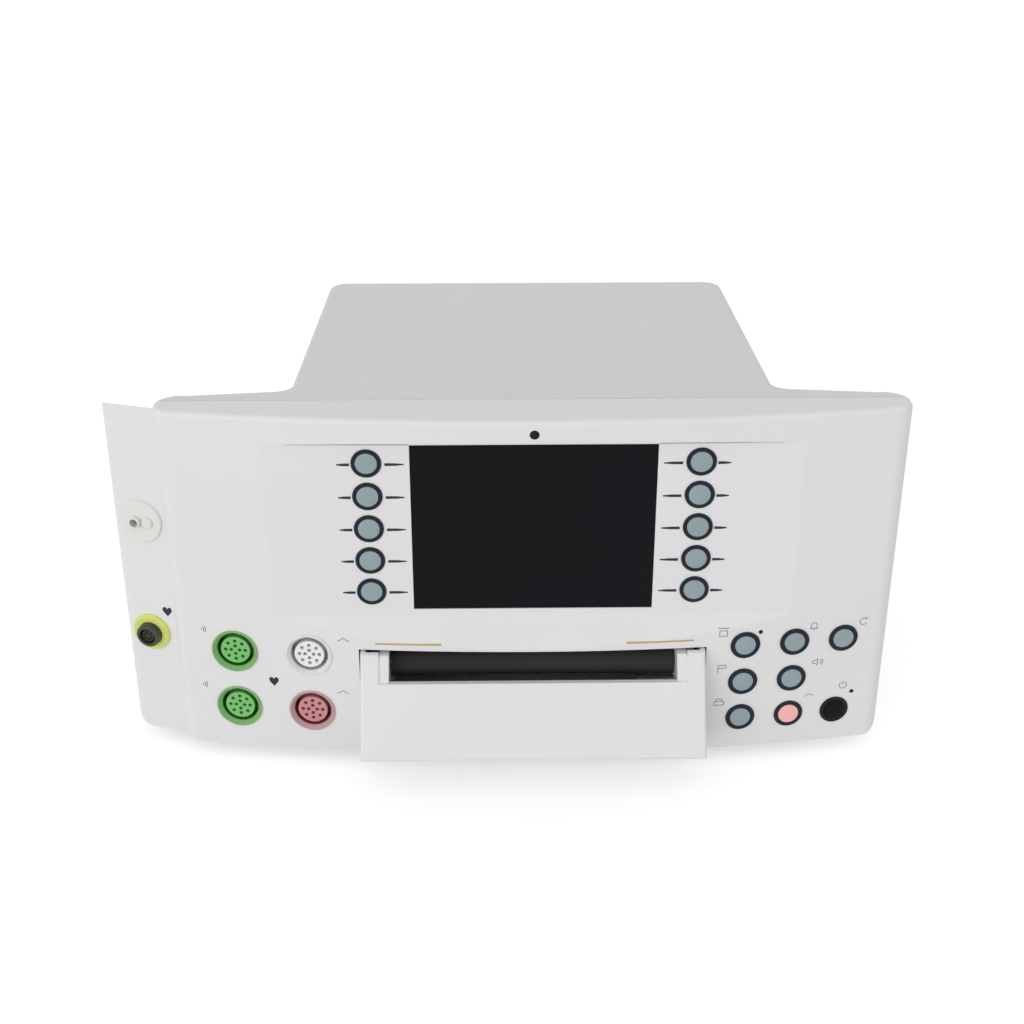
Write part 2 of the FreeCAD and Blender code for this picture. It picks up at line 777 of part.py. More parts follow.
def soft_key_boards():
    boards = []
    high = SOFT_KEY_TOP_Z + BOARD_MARGIN
    low = SOFT_KEY_TOP_Z - (SOFT_KEY_COUNT - 1) * SOFT_KEY_PITCH - BOARD_MARGIN
    inner = SOFT_KEY_X - BOARD_MARGIN
    outer = SOFT_KEY_X + BOARD_POST_OFFSET + BOARD_POST_RADIUS
    for left, right in ((-outer, -inner), (inner, outer)):
        boards.append(box(left, right, BOARD_FRONT, BOARD_FRONT + BOARD_THICKNESS, low, high))
    return group(boards)


def function_key_board():
    wide = 2 * (FUNCTION_KEY_PITCH_X + BOARD_MARGIN)
    tall = 2 * (FUNCTION_KEY_PITCH_Z + BOARD_MARGIN)
    return placed(block(wide, tall, BOARD_FRONT, BOARD_FRONT + BOARD_THICKNESS), function_board_seat())


def tact_switches():
    switches = [placed(tact_switch(), seat) for seat in soft_key_seats().values()]
    centre = function_board_seat()
    for x, z in function_key_places():
        local = centre.inverse().multVec(bow_seat(x, z).Base)
        switch = tact_switch()
        switch.translate(V(local.x, local.y, 0))
        switches.append(placed(switch, centre))
    return group(switches)


# Rear cover, base tray, feet and screws
def screw_places():
    places = []
    for y in (PARTING_Y + SCREW_FRONT_INSET, HUMP_REAR_Y - SCREW_REAR_INSET):
        x = hump_wall_x(y) - WALL - BOSS_RADIUS + BOSS_BITE
        places += [(-x, y), (x, y)]
    return places


def rear_seat(x, z):
    """Local frame on the rear wall: x to the right as seen from behind, y down, z inward."""
    turn = FreeCAD.Rotation(V(-1, 0, 0), V(0, 0, -1), V(0, -1, 0), "ZXY")
    return FreeCAD.Placement(V(x, HUMP_REAR_Y, z), turn)


def grille_slots():
    slots = []
    for k in range(GRILLE_BARS):
        offset = (k - (GRILLE_BARS - 1) / 2) * SLOT_PITCH
        wide = 2 * math.sqrt((SPEAKER_RADIUS - SLOT_PITCH / 2) ** 2 - offset**2)
        slot = block(wide, SLOT_WIDTH, -WALL, 2 * WALL)
        slot.translate(V(0, offset, 0))
        slots.append(placed(slot, rear_seat(SPEAKER_X, SPEAKER_Z)))
    return slots


def vent_slots():
    slots = []
    for k in range(VENT_COUNT):
        slot = block(SLOT_WIDTH, VENT_HEIGHT, -WALL, 2 * WALL)
        slot.translate(V((k - (VENT_COUNT - 1) / 2) * SLOT_PITCH, 0, 0))
        slots.append(placed(slot, rear_seat(VENT_X, SPEAKER_Z)))
    return slots


def data_socket_seats():
    z = MAIN_BOARD_Z + BOARD_THICKNESS + DATA_SOCKET_HEIGHT / 2
    first = DATA_SOCKET_INSET - HUMP_REAR_HALF_WIDTH
    return [rear_seat(first + k * DATA_SOCKET_PITCH, z) for k in range(DATA_SOCKET_COUNT)]


def rear_cover():
    cavity = cover_solid(PARTING_Y - 2 * WALL, WALL, BASE_TOP_Z, FASCIA_TOP_Z - WALL)
    mouth = base_plan(WALL, FASCIA_BASE_Z - WALL, BASE_TOP_Z)
    shell = cover_bulk().cut([cavity.common(console_profile(WALL)), mouth])
    bosses = []
    bores = []
    for x, y in screw_places():
        foot = V(x, y, BASE_TOP_Z)
        bosses.append(Part.makeCylinder(BOSS_RADIUS, BOSS_LENGTH, foot))
        bores.append(Part.makeCylinder(SCREW_RADIUS + SCREW_GAP, SCREW_LENGTH + SCREW_GAP, foot))
    shell = fuse([shell] + bosses)
    holes = bores + grille_slots() + vent_slots() + [seam_groove()]
    wide = INLET_WIDTH + 2 * FIT_GAP
    tall = INLET_HEIGHT + 2 * FIT_GAP
    holes.append(placed(block(wide, tall, -WALL, 2 * WALL), rear_seat(INLET_X, INLET_Z)))
    for seat in data_socket_seats():
        wide = DATA_SOCKET_WIDTH + 2 * FIT_GAP
        tall = DATA_SOCKET_HEIGHT + 2 * FIT_GAP
        holes.append(placed(block(wide, tall, -WALL, 2 * WALL), seat))
    return cut(shell, holes)


def foot_places():
    ys = (PARTING_Y + FOOT_FRONT_INSET, HUMP_REAR_Y - FOOT_REAR_INSET)
    return [V(sign * (hump_wall_x(y) - FOOT_SIDE_INSET), y, 0) for y in ys for sign in (-1, 1)]


def main_board_rear_y():
    return HUMP_REAR_Y - WALL - MAIN_BOARD_REAR_GAP


def main_board_half_width(y):
    return hump_wall_x(y) - WALL - MAIN_BOARD_SIDE_GAP


def post_places():
    places = []
    for y in (MAIN_BOARD_FRONT_Y + POST_INSET, main_board_rear_y() - POST_INSET):
        x = main_board_half_width(y) - POST_INSET
        places += [V(-x, y, BASE_TOP_Z), V(x, y, BASE_TOP_Z)]
    return places


def base_tray():
    plate = base_plan(WALL + FIT_GAP, FASCIA_BASE_Z, BASE_TOP_Z)
    posts = [Part.makeCylinder(POST_RADIUS, MAIN_BOARD_Z - BASE_TOP_Z, p) for p in post_places()]
    tray = fuse([plate] + posts)
    holes = []
    for x, y in screw_places():
        under = V(x, y, FASCIA_BASE_Z)
        holes.append(Part.makeCylinder(SCREW_HEAD_RADIUS + SCREW_GAP, SCREW_HEAD_HEIGHT, under))
        holes.append(Part.makeCylinder(SCREW_RADIUS + SCREW_GAP, BASE_THICKNESS, under))
    return cut(tray, holes)


def rubber_feet():
    feet = []
    for place in foot_places():
        foot = Part.makeCylinder(FOOT_RADIUS, FASCIA_BASE_Z, place)
        rim = [e for e in foot.Edges if e.BoundBox.ZMax < FIT_GAP]
        feet.append(foot.makeChamfer(FOOT_CHAMFER, rim))
    return group(feet)


def case_screws():
    screws = []
    for x, y in screw_places():
        under = V(x, y, FASCIA_BASE_Z)
        head = Part.makeCylinder(SCREW_HEAD_RADIUS, SCREW_HEAD_HEIGHT, under)
        shank = Part.makeCylinder(SCREW_RADIUS, BASE_THICKNESS + SCREW_LENGTH, under)
        screws.append(fuse([head, shank]))
    return group(screws)


# Side pod
def pod_bulk(inset):
    """The pod's bulk before the console is taken out of it, drawn in by inset."""
    slope = math.tan(math.radians(POD_FACE_ANGLE))
    hump_x = -hump_wall_x(POD_REAR_Y) + WALL
    tip_x = -FASCIA_HALF_WIDTH + TIP_RADIUS
    outer_x = LEFT_END + inset
    back = POD_REAR_Y - inset
    face_y = POD_FACE_Y + inset
    low = FASCIA_BASE_Z + inset
    high = FASCIA_TOP_Z
    outline = [
        V(hump_x, PARTING_Y, low),
        V(hump_x, back, low),
        V(outer_x, back, low),
        V(outer_x, face_y - slope * (outer_x + FASCIA_HALF_WIDTH), low),
        V(tip_x, face_y - slope * TIP_RADIUS, low),
        V(tip_x, PARTING_Y, low),
    ]
    solid = polygon(outline).extrude(V(0, 0, high - low))
    edges = [e for e in solid.Edges if is_upright(e) and e.CenterOfMass.x < outer_x + FIT_GAP]
    solid = solid.makeFillet(POD_EDGE_RADIUS - inset, edges)
    solid = solid.common(front_profile(outer_x, FAR, low, high, CORNER_RADIUS - inset))
    top = FASCIA_TOP_Z - POD_TOP_DROP - inset / math.cos(math.radians(POD_TOP_SLOPE))
    reach = 2 * POD_DEPTH
    fall = math.tan(math.radians(POD_TOP_SLOPE)) * reach
    ridge = V(-FASCIA_HALF_WIDTH, POD_FACE_Y, top)
    wedge = polygon([
        ridge + V(-FAR, 0, 0),
        ridge + V(-FAR, reach, -fall),
        ridge + V(-FAR, reach, fall),
        ridge + V(-FAR, -reach, fall),
        ridge + V(-FAR, -reach, 0),
    ]).extrude(V(2 * FAR, 0, 0))
    wedge.rotate(ridge, V(0, 0, 1), -POD_FACE_ANGLE)
    return solid.cut(wedge)


def pod_hole(radius, seat):
    return placed(disc(radius + FIT_GAP, -POD_WIDTH, POD_BARREL_DEPTH), seat)


def side_pod():
    console = [fascia_bulk(), cover_bulk()]
    grown = cover_solid(PARTING_Y - 2 * WALL, 0, -FAR, FAR)
    floor = [f for f in grown.Faces if f.CenterOfMass.z < 0 and f.normalAt(0, 0).z < 0][0]
    keep_out = floor.makeOffset2D(WALL).extrude(V(0, 0, 2 * FAR))
    cavity = pod_bulk(WALL).cut(keep_out)
    shell = pod_bulk(0).cut(console).cut(cavity)
    holes = [
        pod_hole(POD_BARREL_RADIUS, pod_seat(POD_SOCKET_ALONG, POD_SOCKET_Z)),
        pod_hole(CUFF_NIPPLE_RADIUS, cuff_nipple_seat()),
    ]
    return cut(shell, holes)


def pod_socket_collar():
    edge = POD_COLLAR_PROUD / 2
    collar = turned_outline([
        at(POD_BARREL_RADIUS + FIT_GAP, -POD_COLLAR_PROUD),
        at(POD_COLLAR_RADIUS - edge, -POD_COLLAR_PROUD),
        at(POD_COLLAR_RADIUS, -edge),
        at(POD_COLLAR_RADIUS, 0),
        at(POD_BARREL_RADIUS + FIT_GAP, 0),
    ])
    return placed(collar, pod_seat(POD_SOCKET_ALONG, POD_SOCKET_Z))


def pod_socket_barrel():
    mouth = -POD_BARREL_PROUD
    floor = POD_BARREL_DEPTH - SOCKET_FLOOR
    barrel = turned_outline([
        at(POD_BARREL_BORE, mouth),
        at(POD_BARREL_RADIUS - SOCKET_RIM_CHAMFER, mouth),
        at(POD_BARREL_RADIUS, mouth + SOCKET_RIM_CHAMFER),
        at(POD_BARREL_RADIUS, POD_BARREL_DEPTH),
        at(0, POD_BARREL_DEPTH),
        at(0, floor),
        at(POD_BARREL_BORE, floor),
    ])
    return placed(barrel, pod_seat(POD_SOCKET_ALONG, POD_SOCKET_Z))


def cuff_nipple_seat():
    return pod_seat(CUFF_PORT_ALONG + CUFF_NIPPLE_OFFSET, CUFF_PORT_Z)


def cuff_stud(radius, proud, depth):
    """Round stud with a broken front edge, standing proud of the pod's face."""
    edge = CUFF_FLANGE_PROUD / 3
    return turned_outline([
        at(0, -proud),
        at(radius - edge, -proud),
        at(radius, edge - proud),
        at(radius, depth),
        at(0, depth),
    ])


def cuff_port():
    """Flange with the hose nipple on its outer side and a release stud on its inner side."""
    latch_seat = pod_seat(CUFF_PORT_ALONG - CUFF_LATCH_OFFSET, CUFF_PORT_Z)
    nipple = cuff_stud(CUFF_NIPPLE_RADIUS, CUFF_NIPPLE_PROUD, CUFF_DEPTH)
    bore = disc(CUFF_BORE_RADIUS, -2 * CUFF_NIPPLE_PROUD, 2 * CUFF_DEPTH)
    port = fuse([
        placed(cuff_stud(CUFF_FLANGE_RADIUS, CUFF_FLANGE_PROUD, 0), pod_seat(CUFF_PORT_ALONG, CUFF_PORT_Z)),
        placed(nipple, cuff_nipple_seat()),
        placed(cuff_stud(CUFF_LATCH_RADIUS, CUFF_LATCH_PROUD, 0), latch_seat),
    ])
    return cut(port, [placed(bore, cuff_nipple_seat())])


# Paper drawer
DRAWER_FLOOR_Z = DRAWER_BOTTOM_Z + SCALLOP_HEIGHT + DRAWER_WALL
DRAWER_RAKE = (DRAWER_TOP_Y - DRAWER_LIP_Y) / (DRAWER_TOP_Z - DRAWER_BOTTOM_Z)


def drawer_face_y(z):
    return DRAWER_LIP_Y + DRAWER_RAKE * (z - DRAWER_BOTTOM_Z)


def drawer_inside_y(z):
    return drawer_face_y(z) + DRAWER_WALL * math.hypot(1, DRAWER_RAKE)


def side_prism(points, half):
    """Prism across the drawer from y, z points."""
    return polygon([V(-half, y, z) for y, z in points]).extrude(V(2 * half, 0, 0))


def drawer_front():
    """Raked front, open above and behind, notched for the paper and scalloped for the fingers."""
    bulk = side_prism([
        (drawer_face_y(DRAWER_TOP_Z), DRAWER_TOP_Z),
        (DRAWER_LIP_Y, DRAWER_BOTTOM_Z),
        (DRAWER_REAR_Y, DRAWER_BOTTOM_Z),
        (DRAWER_REAR_Y, DRAWER_TOP_Z),
    ], DRAWER_HALF_WIDTH)
    raked = [f for f in bulk.Faces if f.normalAt(0, 0).y < -FIT_GAP][0]
    bulk = bulk.makeFillet(DRAWER_EDGE_RADIUS, raked.Edges)
    above = DRAWER_TOP_Z + DRAWER_WALL
    behind = DRAWER_REAR_Y + DRAWER_WALL
    hollow = side_prism([
        (drawer_inside_y(above), above),
        (drawer_inside_y(DRAWER_FLOOR_Z), DRAWER_FLOOR_Z),
        (behind, DRAWER_FLOOR_Z),
        (behind, above),
    ], DRAWER_HALF_WIDTH - DRAWER_WALL)
    notch = box(-NOTCH_HALF_WIDTH, NOTCH_HALF_WIDTH, -FAR, FAR, NOTCH_Z, FAR)
    foot = SCALLOP_HALF_WIDTH + SCALLOP_SLOPE
    high = DRAWER_BOTTOM_Z + SCALLOP_HEIGHT
    scallop = polygon([
        V(-foot, -FAR, DRAWER_BOTTOM_Z),
        V(-SCALLOP_HALF_WIDTH, -FAR, high),
        V(SCALLOP_HALF_WIDTH, -FAR, high),
        V(foot, -FAR, DRAWER_BOTTOM_Z),
    ]).extrude(V(0, 2 * FAR, 0))
    return cut(bulk, [hollow, notch, scallop])


TRAY_OUTER_HALF = TRAY_INNER_HALF + TRAY_WALL
TRAY_FLOOR_Z = DRAWER_FLOOR_Z + TRAY_FLOOR
TRAY_REAR_Y = TRAY_FRONT_WALL_Y + TRAY_PAPER_LENGTH + TRAY_END_WALL
TRAY_TAIL_Y = RUNNER_START_Y + DRAWER_TRAVEL + TONGUE_ENGAGEMENT
TONGUE_OUTER = TRAY_OUTER_HALF + TONGUE_REACH
GEAR_START_X = TRAY_OUTER_HALF + GEAR_SIDE_GAP
GEAR_PITCH_RADIUS = GEAR_MODULE * GEAR_TEETH / 2
PINION_PITCH_RADIUS = GEAR_MODULE * PINION_TEETH / 2
MESH_DISTANCE = GEAR_PITCH_RADIUS + PINION_PITCH_RADIUS + MESH_GAP
PINION_Y = ROLLER_Y + MESH_DISTANCE * math.cos(math.radians(MESH_ANGLE))
PINION_Z = ROLLER_Z + MESH_DISTANCE * math.sin(math.radians(MESH_ANGLE))


def cross_rod(radius, x0, x1, y, z):
    return Part.makeCylinder(radius, x1 - x0, V(x0, y, z), V(1, 0, 0))


def mirrored(shape):
    return shape.mirror(V(), V(1, 0, 0))


def tray_cheek():
    """Side of the paper slot, coming forward through the drawer's notch to just behind its face."""
    foot = drawer_inside_y(NOTCH_Z) + FIT_GAP
    nose_z = NOTCH_Z + FIT_GAP
    top = DRAWER_TOP_Z - CHEEK_TOP_GAP
    outline = [
        (foot, TRAY_FLOOR_Z),
        (foot, nose_z),
        (drawer_face_y(nose_z) + CHEEK_SETBACK, nose_z),
        (drawer_face_y(top) + CHEEK_SETBACK, top),
        (TRAY_FRONT_WALL_Y, top),
        (TRAY_FRONT_WALL_Y, TRAY_FLOOR_Z),
    ]
    return polygon([V(TRAY_INNER_HALF, y, z) for y, z in outline]).extrude(V(TRAY_WALL, 0, 0))


def paper_tray():
    """Floor, low walls round the paper, tall cheeks for the roller, and tongues for the runners."""
    front = drawer_inside_y(TRAY_FLOOR_Z) + FIT_GAP
    floor = box(-TRAY_OUTER_HALF, TRAY_OUTER_HALF, front, TRAY_REAR_Y, DRAWER_FLOOR_Z, TRAY_FLOOR_Z)
    end = box(-TRAY_OUTER_HALF, TRAY_OUTER_HALF, TRAY_REAR_Y - TRAY_END_WALL, TRAY_REAR_Y,
              TRAY_FLOOR_Z, TRAY_FLOOR_Z + TRAY_END_HEIGHT)
    wall = box(TRAY_INNER_HALF, TRAY_OUTER_HALF, TRAY_FRONT_WALL_Y, TRAY_REAR_Y,
               TRAY_FLOOR_Z, TRAY_FLOOR_Z + TRAY_WALL_HEIGHT)
    tail = box(TRAY_INNER_HALF, TRAY_OUTER_HALF, TRAY_REAR_Y, TRAY_TAIL_Y,
               DRAWER_FLOOR_Z, DRAWER_FLOOR_Z + TRAY_TAIL_HEIGHT)
    tongue = box(TRAY_OUTER_HALF, TONGUE_OUTER, RUNNER_START_Y, TRAY_TAIL_Y,
                 TONGUE_Z, TONGUE_Z + TONGUE_HEIGHT)
    side = [wall, tray_cheek(), tail, tongue]
    tray = fuse([floor, end] + side + [mirrored(s) for s in side])
    bores = [
        cross_rod(SHAFT_RADIUS + SHAFT_GAP, -TONGUE_OUTER, TONGUE_OUTER, ROLLER_Y, ROLLER_Z),
        cross_rod(MOTOR_SHAFT_RADIUS + KEY_GAP, 0, TONGUE_OUTER, PINION_Y, PINION_Z),
    ]
    return cut(tray, bores)


def drawer_runners():
    """Two channels standing on the base tray, open towards the drawer."""
    inner = TRAY_OUTER_HALF + RUNNER_GAP
    web = TONGUE_OUTER + RUNNER_GAP
    outer = web + RUNNER_WALL
    end = TRAY_TAIL_Y + RUNNER_TAIL
    low = TONGUE_Z - RUNNER_GAP
    high = TONGUE_Z + TONGUE_HEIGHT + RUNNER_GAP
    runner = fuse([
        box(web, outer, RUNNER_START_Y, end, BASE_TOP_Z, high + RUNNER_WALL),
        box(inner, outer, RUNNER_START_Y, end, low - RUNNER_WALL, low),
        box(inner, outer, RUNNER_START_Y, end, high, high + RUNNER_WALL),
        box(web, outer + RUNNER_FOOT, RUNNER_START_Y, end, BASE_TOP_Z, BASE_TOP_Z + RUNNER_WALL),
    ])
    return group([runner, mirrored(runner)])


# Paper drive
def gear_outline(teeth, tooth_angle, y, z):
    """Toothed outline about y, z, with one tooth centred on tooth_angle."""
    pitch = GEAR_MODULE * teeth / 2
    root = pitch - DEDENDUM * GEAR_MODULE
    tip = pitch + ADDENDUM * GEAR_MODULE
    half_pitch = math.pi / (2 * teeth) * TOOTH_FILL
    flank = ((root, TOOTH_ROOT_SPREAD), (pitch, 1.0), (tip, TOOTH_TIP_SPREAD))
    corners = [(radius, -share) for radius, share in flank] + list(reversed(flank))
    points = []
    for k in range(teeth):
        middle = math.radians(tooth_angle) + 2 * math.pi * k / teeth
        for radius, share in corners:
            turn = middle + share * half_pitch
            points.append(V(GEAR_START_X, y + radius * math.cos(turn), z + radius * math.sin(turn)))
    return polygon(points)


def platen_gear():
    body = gear_outline(GEAR_TEETH, MESH_ANGLE, ROLLER_Y, ROLLER_Z).extrude(V(GEAR_WIDTH, 0, 0))
    bore = cross_rod(SHAFT_RADIUS + PRESS_GAP, 0, 2 * GEAR_START_X, ROLLER_Y, ROLLER_Z)
    return cut(body, [bore])


def motor_pinion():
    """Pinion and the motor's shaft in one piece."""
    gap_angle = MESH_ANGLE + 180 + 180 / PINION_TEETH
    body = gear_outline(PINION_TEETH, gap_angle, PINION_Y, PINION_Z).extrude(V(GEAR_WIDTH, 0, 0))
    start = TRAY_INNER_HALF - MOTOR_BORE_DEPTH + KEY_GAP
    shaft = cross_rod(MOTOR_SHAFT_RADIUS, start, GEAR_START_X + GEAR_WIDTH, PINION_Y, PINION_Z)
    return fuse([body, shaft])


def stepper_motor():
    body = cross_rod(MOTOR_RADIUS, TRAY_INNER_HALF - MOTOR_LENGTH, TRAY_INNER_HALF, PINION_Y, PINION_Z)
    bore = cross_rod(MOTOR_SHAFT_RADIUS + SHAFT_GAP, TRAY_INNER_HALF - MOTOR_BORE_DEPTH, TRAY_OUTER_HALF,
                     PINION_Y, PINION_Z)
    return cut(body, [bore])


def platen_shaft():
    return cross_rod(SHAFT_RADIUS, -TRAY_OUTER_HALF, GEAR_START_X + GEAR_WIDTH, ROLLER_Y, ROLLER_Z)


def platen_roller():
    half = TRAY_INNER_HALF - ROLLER_END_GAP
    sleeve = cross_rod(ROLLER_RADIUS, -half, half, ROLLER_Y, ROLLER_Z)
    return cut(sleeve, [cross_rod(SHAFT_RADIUS + PRESS_GAP, -half, half, ROLLER_Y, ROLLER_Z)])


HEAD_FRONT_Y = ROLLER_Y + ROLLER_RADIUS + HEAD_GAP
SINK_FRONT_Y = HEAD_FRONT_Y + HEAD_THICKNESS
BRIDGE_FRONT_Y = SINK_FRONT_Y + SINK_DEPTH
BRIDGE_REAR_Y = BRIDGE_FRONT_Y + BRIDGE_THICKNESS
TRAY_WALL_TOP_Z = TRAY_FLOOR_Z + TRAY_WALL_HEIGHT


def print_head():
    """Thermal head across the paper, with cooling fins on its back."""
    half = TRAY_INNER_HALF - ROLLER_END_GAP
    low = ROLLER_Z - HEAD_HEIGHT / 2
    high = ROLLER_Z + HEAD_HEIGHT / 2
    pieces = [box(-half, half, HEAD_FRONT_Y, SINK_FRONT_Y, low, high)]
    pitch = (2 * half - FIN_WIDTH) / (FIN_COUNT - 1)
    for k in range(FIN_COUNT):
        left = -half + k * pitch
        pieces.append(box(left, left + FIN_WIDTH, SINK_FRONT_Y, BRIDGE_FRONT_Y, low, high))
    return fuse(pieces)


def head_bridge():
    """Sheet-metal bridge over the drawer, standing on the base tray."""
    inner = DRAWER_HALF_WIDTH + BRIDGE_SIDE_GAP
    outer = inner + BRIDGE_THICKNESS
    plate = box(-outer, outer, BRIDGE_FRONT_Y, BRIDGE_REAR_Y,
                TRAY_WALL_TOP_Z + BRIDGE_CLEARANCE, BRIDGE_TOP_Z)
    leg = box(inner, outer, BRIDGE_FRONT_Y, BRIDGE_FRONT_Y + BRIDGE_FLANGE, BASE_TOP_Z, BRIDGE_TOP_Z)
    return fuse([plate, leg, mirrored(leg)])


# Electronics
def main_board():
    top = MAIN_BOARD_Z + BOARD_THICKNESS
    front = main_board_half_width(MAIN_BOARD_FRONT_Y)
    rear = main_board_half_width(main_board_rear_y())
    board = polygon([
        V(-front, MAIN_BOARD_FRONT_Y, MAIN_BOARD_Z),
        V(front, MAIN_BOARD_FRONT_Y, MAIN_BOARD_Z),
        V(rear, main_board_rear_y(), MAIN_BOARD_Z),
        V(-rear, main_board_rear_y(), MAIN_BOARD_Z),
    ]).extrude(V(0, 0, BOARD_THICKNESS))
    chips = []
    for x, y, wide, deep in MAIN_CHIPS:
        chips.append(box(x, x + wide, y, y + deep, top, top + CHIP_HEIGHT))
    return fuse([board] + chips)


def power_supply():
    rear = HUMP_REAR_Y - WALL - FIT_GAP
    left = SUPPLY_SIDE_GAP - TRAY_INNER_HALF
    return box(left, left + SUPPLY_WIDTH, rear - SUPPLY_DEPTH, rear, BASE_TOP_Z, BASE_TOP_Z + SUPPLY_HEIGHT)


def mains_inlet():
    """Appliance inlet: flange outside the rear wall, shrouded cavity and three pins."""
    flange_width = INLET_WIDTH + 2 * INLET_FLANGE
    flange_height = INLET_HEIGHT + 2 * INLET_FLANGE
    flange = block(flange_width, flange_height, -INLET_FLANGE_THICKNESS, 0)
    body = block(INLET_WIDTH, INLET_HEIGHT, 0, INLET_DEPTH)
    cavity = block(INLET_WIDTH - INLET_FLANGE, INLET_HEIGHT - INLET_FLANGE, -2 * INLET_FLANGE_THICKNESS,
                   INLET_CAVITY_DEPTH)
    shell = cut(fuse([flange, body]), [cavity])
    pins = []
    for k in (-1, 0, 1):
        pin = disc(INLET_PIN_RADIUS, INLET_CAVITY_DEPTH / 3, INLET_CAVITY_DEPTH)
        pin.translate(V(k * INLET_WIDTH / 4, 0, 0))
        pins.append(pin)
    return placed(fuse([shell] + pins), rear_seat(INLET_X, INLET_Z))


def data_sockets():
    sockets = []
    for seat in data_socket_seats():
        body = block(DATA_SOCKET_WIDTH, DATA_SOCKET_HEIGHT, 0, DATA_SOCKET_DEPTH)
        wide = DATA_SOCKET_WIDTH - 2 * INLET_FLANGE
        tall = DATA_SOCKET_HEIGHT - INLET_FLANGE
        cavity = block(wide, tall, -DATA_CAVITY_DEPTH, DATA_CAVITY_DEPTH)
        sockets.append(placed(cut(body, [cavity]), seat))
    return group(sockets)


def loudspeaker():
    rim = WALL + SPEAKER_DEPTH / 6
    speaker = turned_outline([
        at(0, WALL + SPEAKER_DEPTH / 3),
        at(SPEAKER_RADIUS - WALL, WALL),
        at(SPEAKER_RADIUS, WALL),
        at(SPEAKER_RADIUS, rim),
        at(SPEAKER_MAGNET_RADIUS, WALL + SPEAKER_DEPTH / 2),
        at(SPEAKER_MAGNET_RADIUS, WALL + SPEAKER_DEPTH),
        at(0, WALL + SPEAKER_DEPTH),
    ])
    return placed(speaker, rear_seat(SPEAKER_X, SPEAKER_Z))


# All pieces by name
def make_pieces():
    pieces = {
        "front_fascia": front_fascia(),
        "rear_cover": rear_cover(),
        "base_tray": base_tray(),
        "rubber_feet": rubber_feet(),
        "case_screws": case_screws(),
        "side_pod": side_pod(),
        "screen_lens": screen_lens(),
        "lcd_module": lcd_module(),
        "soft_key_boards": soft_key_boards(),
        "function_key_board": function_key_board(),
        "tact_switches": tact_switches(),
        "status_lamp": placed(lamp_lens(STATUS_LAMP_RADIUS), bow_seat(0, STATUS_LAMP_Z)),
        "indicator_lenses": group([placed(lamp_lens(INDICATOR_RADIUS), s) for s in indicator_seats()]),
        "soft_key_bezels": key_bezels(BEZEL_WIDTH, soft_key_seats()),
        "function_key_bezels": key_bezels(FUNCTION_BEZEL_WIDTH, function_key_seats()),
        "pod_socket_collar": pod_socket_collar(),
        "pod_socket_barrel": pod_socket_barrel(),
        "cuff_port": cuff_port(),
        "drawer_front": drawer_front(),
        "paper_tray": paper_tray(),
        "drawer_runners": drawer_runners(),
        "platen_roller": platen_roller(),
        "platen_shaft": platen_shaft(),
        "platen_gear": platen_gear(),
        "motor_pinion": motor_pinion(),
        "stepper_motor": stepper_motor(),
        "print_head": print_head(),
        "head_bridge": head_bridge(),
        "main_board": main_board(),
        "power_supply": power_supply(),
        "mains_inlet": mains_inlet(),
        "data_sockets": data_sockets(),
        "loudspeaker": loudspeaker(),
    }
    for name, seat in list(soft_key_seats().items()) + list(function_key_seats().items()):
        pieces[name] = placed(key_cap(), seat)
    for number, seat in enumerate(socket_seats(), 1):
        pieces[f"socket_collar_{number}"] = placed(socket_collar(), seat)
        pieces[f"socket_insert_{number}"] = placed(socket_insert(), seat)
    return pieces


# The part's origin is the middle of its footprint, on the surface that it stands on
PIECES = make_pieces()
FRONT_Y = PIECES["drawer_front"].optimalBoundingBox().YMin
REAR_Y = HUMP_REAR_Y + INLET_FLANGE_THICKNESS
ORIGIN = V((LEFT_END + FASCIA_HALF_WIDTH) / 2, (FRONT_Y + REAR_Y) / 2, 0)

os.makedirs("parts", exist_ok=True)
for node, piece in PIECES.items():
    piece.translate(-ORIGIN)
    piece.exportStep(os.path.join("parts", node + ".step"))
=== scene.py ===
import math

import bmesh
import bpy
from mathutils import Matrix, Vector
from mathutils.bvhtree import BVHTree


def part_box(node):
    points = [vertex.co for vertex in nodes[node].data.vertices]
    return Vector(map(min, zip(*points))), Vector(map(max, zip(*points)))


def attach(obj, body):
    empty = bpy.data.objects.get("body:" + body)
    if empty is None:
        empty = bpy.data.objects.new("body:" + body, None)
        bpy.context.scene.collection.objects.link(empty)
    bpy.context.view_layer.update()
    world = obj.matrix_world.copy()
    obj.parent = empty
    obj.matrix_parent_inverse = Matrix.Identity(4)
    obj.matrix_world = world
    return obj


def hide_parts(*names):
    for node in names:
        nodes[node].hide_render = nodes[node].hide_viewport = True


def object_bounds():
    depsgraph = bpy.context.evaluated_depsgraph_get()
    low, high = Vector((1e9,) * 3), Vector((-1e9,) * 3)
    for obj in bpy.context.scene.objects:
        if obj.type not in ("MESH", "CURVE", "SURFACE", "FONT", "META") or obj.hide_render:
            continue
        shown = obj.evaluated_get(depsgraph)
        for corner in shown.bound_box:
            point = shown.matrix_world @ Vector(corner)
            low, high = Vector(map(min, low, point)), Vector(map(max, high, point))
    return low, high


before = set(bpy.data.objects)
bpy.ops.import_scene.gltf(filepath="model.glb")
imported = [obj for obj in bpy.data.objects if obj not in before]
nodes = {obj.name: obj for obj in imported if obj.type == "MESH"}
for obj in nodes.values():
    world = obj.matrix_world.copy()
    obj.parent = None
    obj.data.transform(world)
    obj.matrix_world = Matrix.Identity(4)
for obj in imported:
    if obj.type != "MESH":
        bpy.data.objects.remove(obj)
cad_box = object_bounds()
scene = bpy.context.scene
MM = 0.001
FULL_TURN = 2 * math.pi

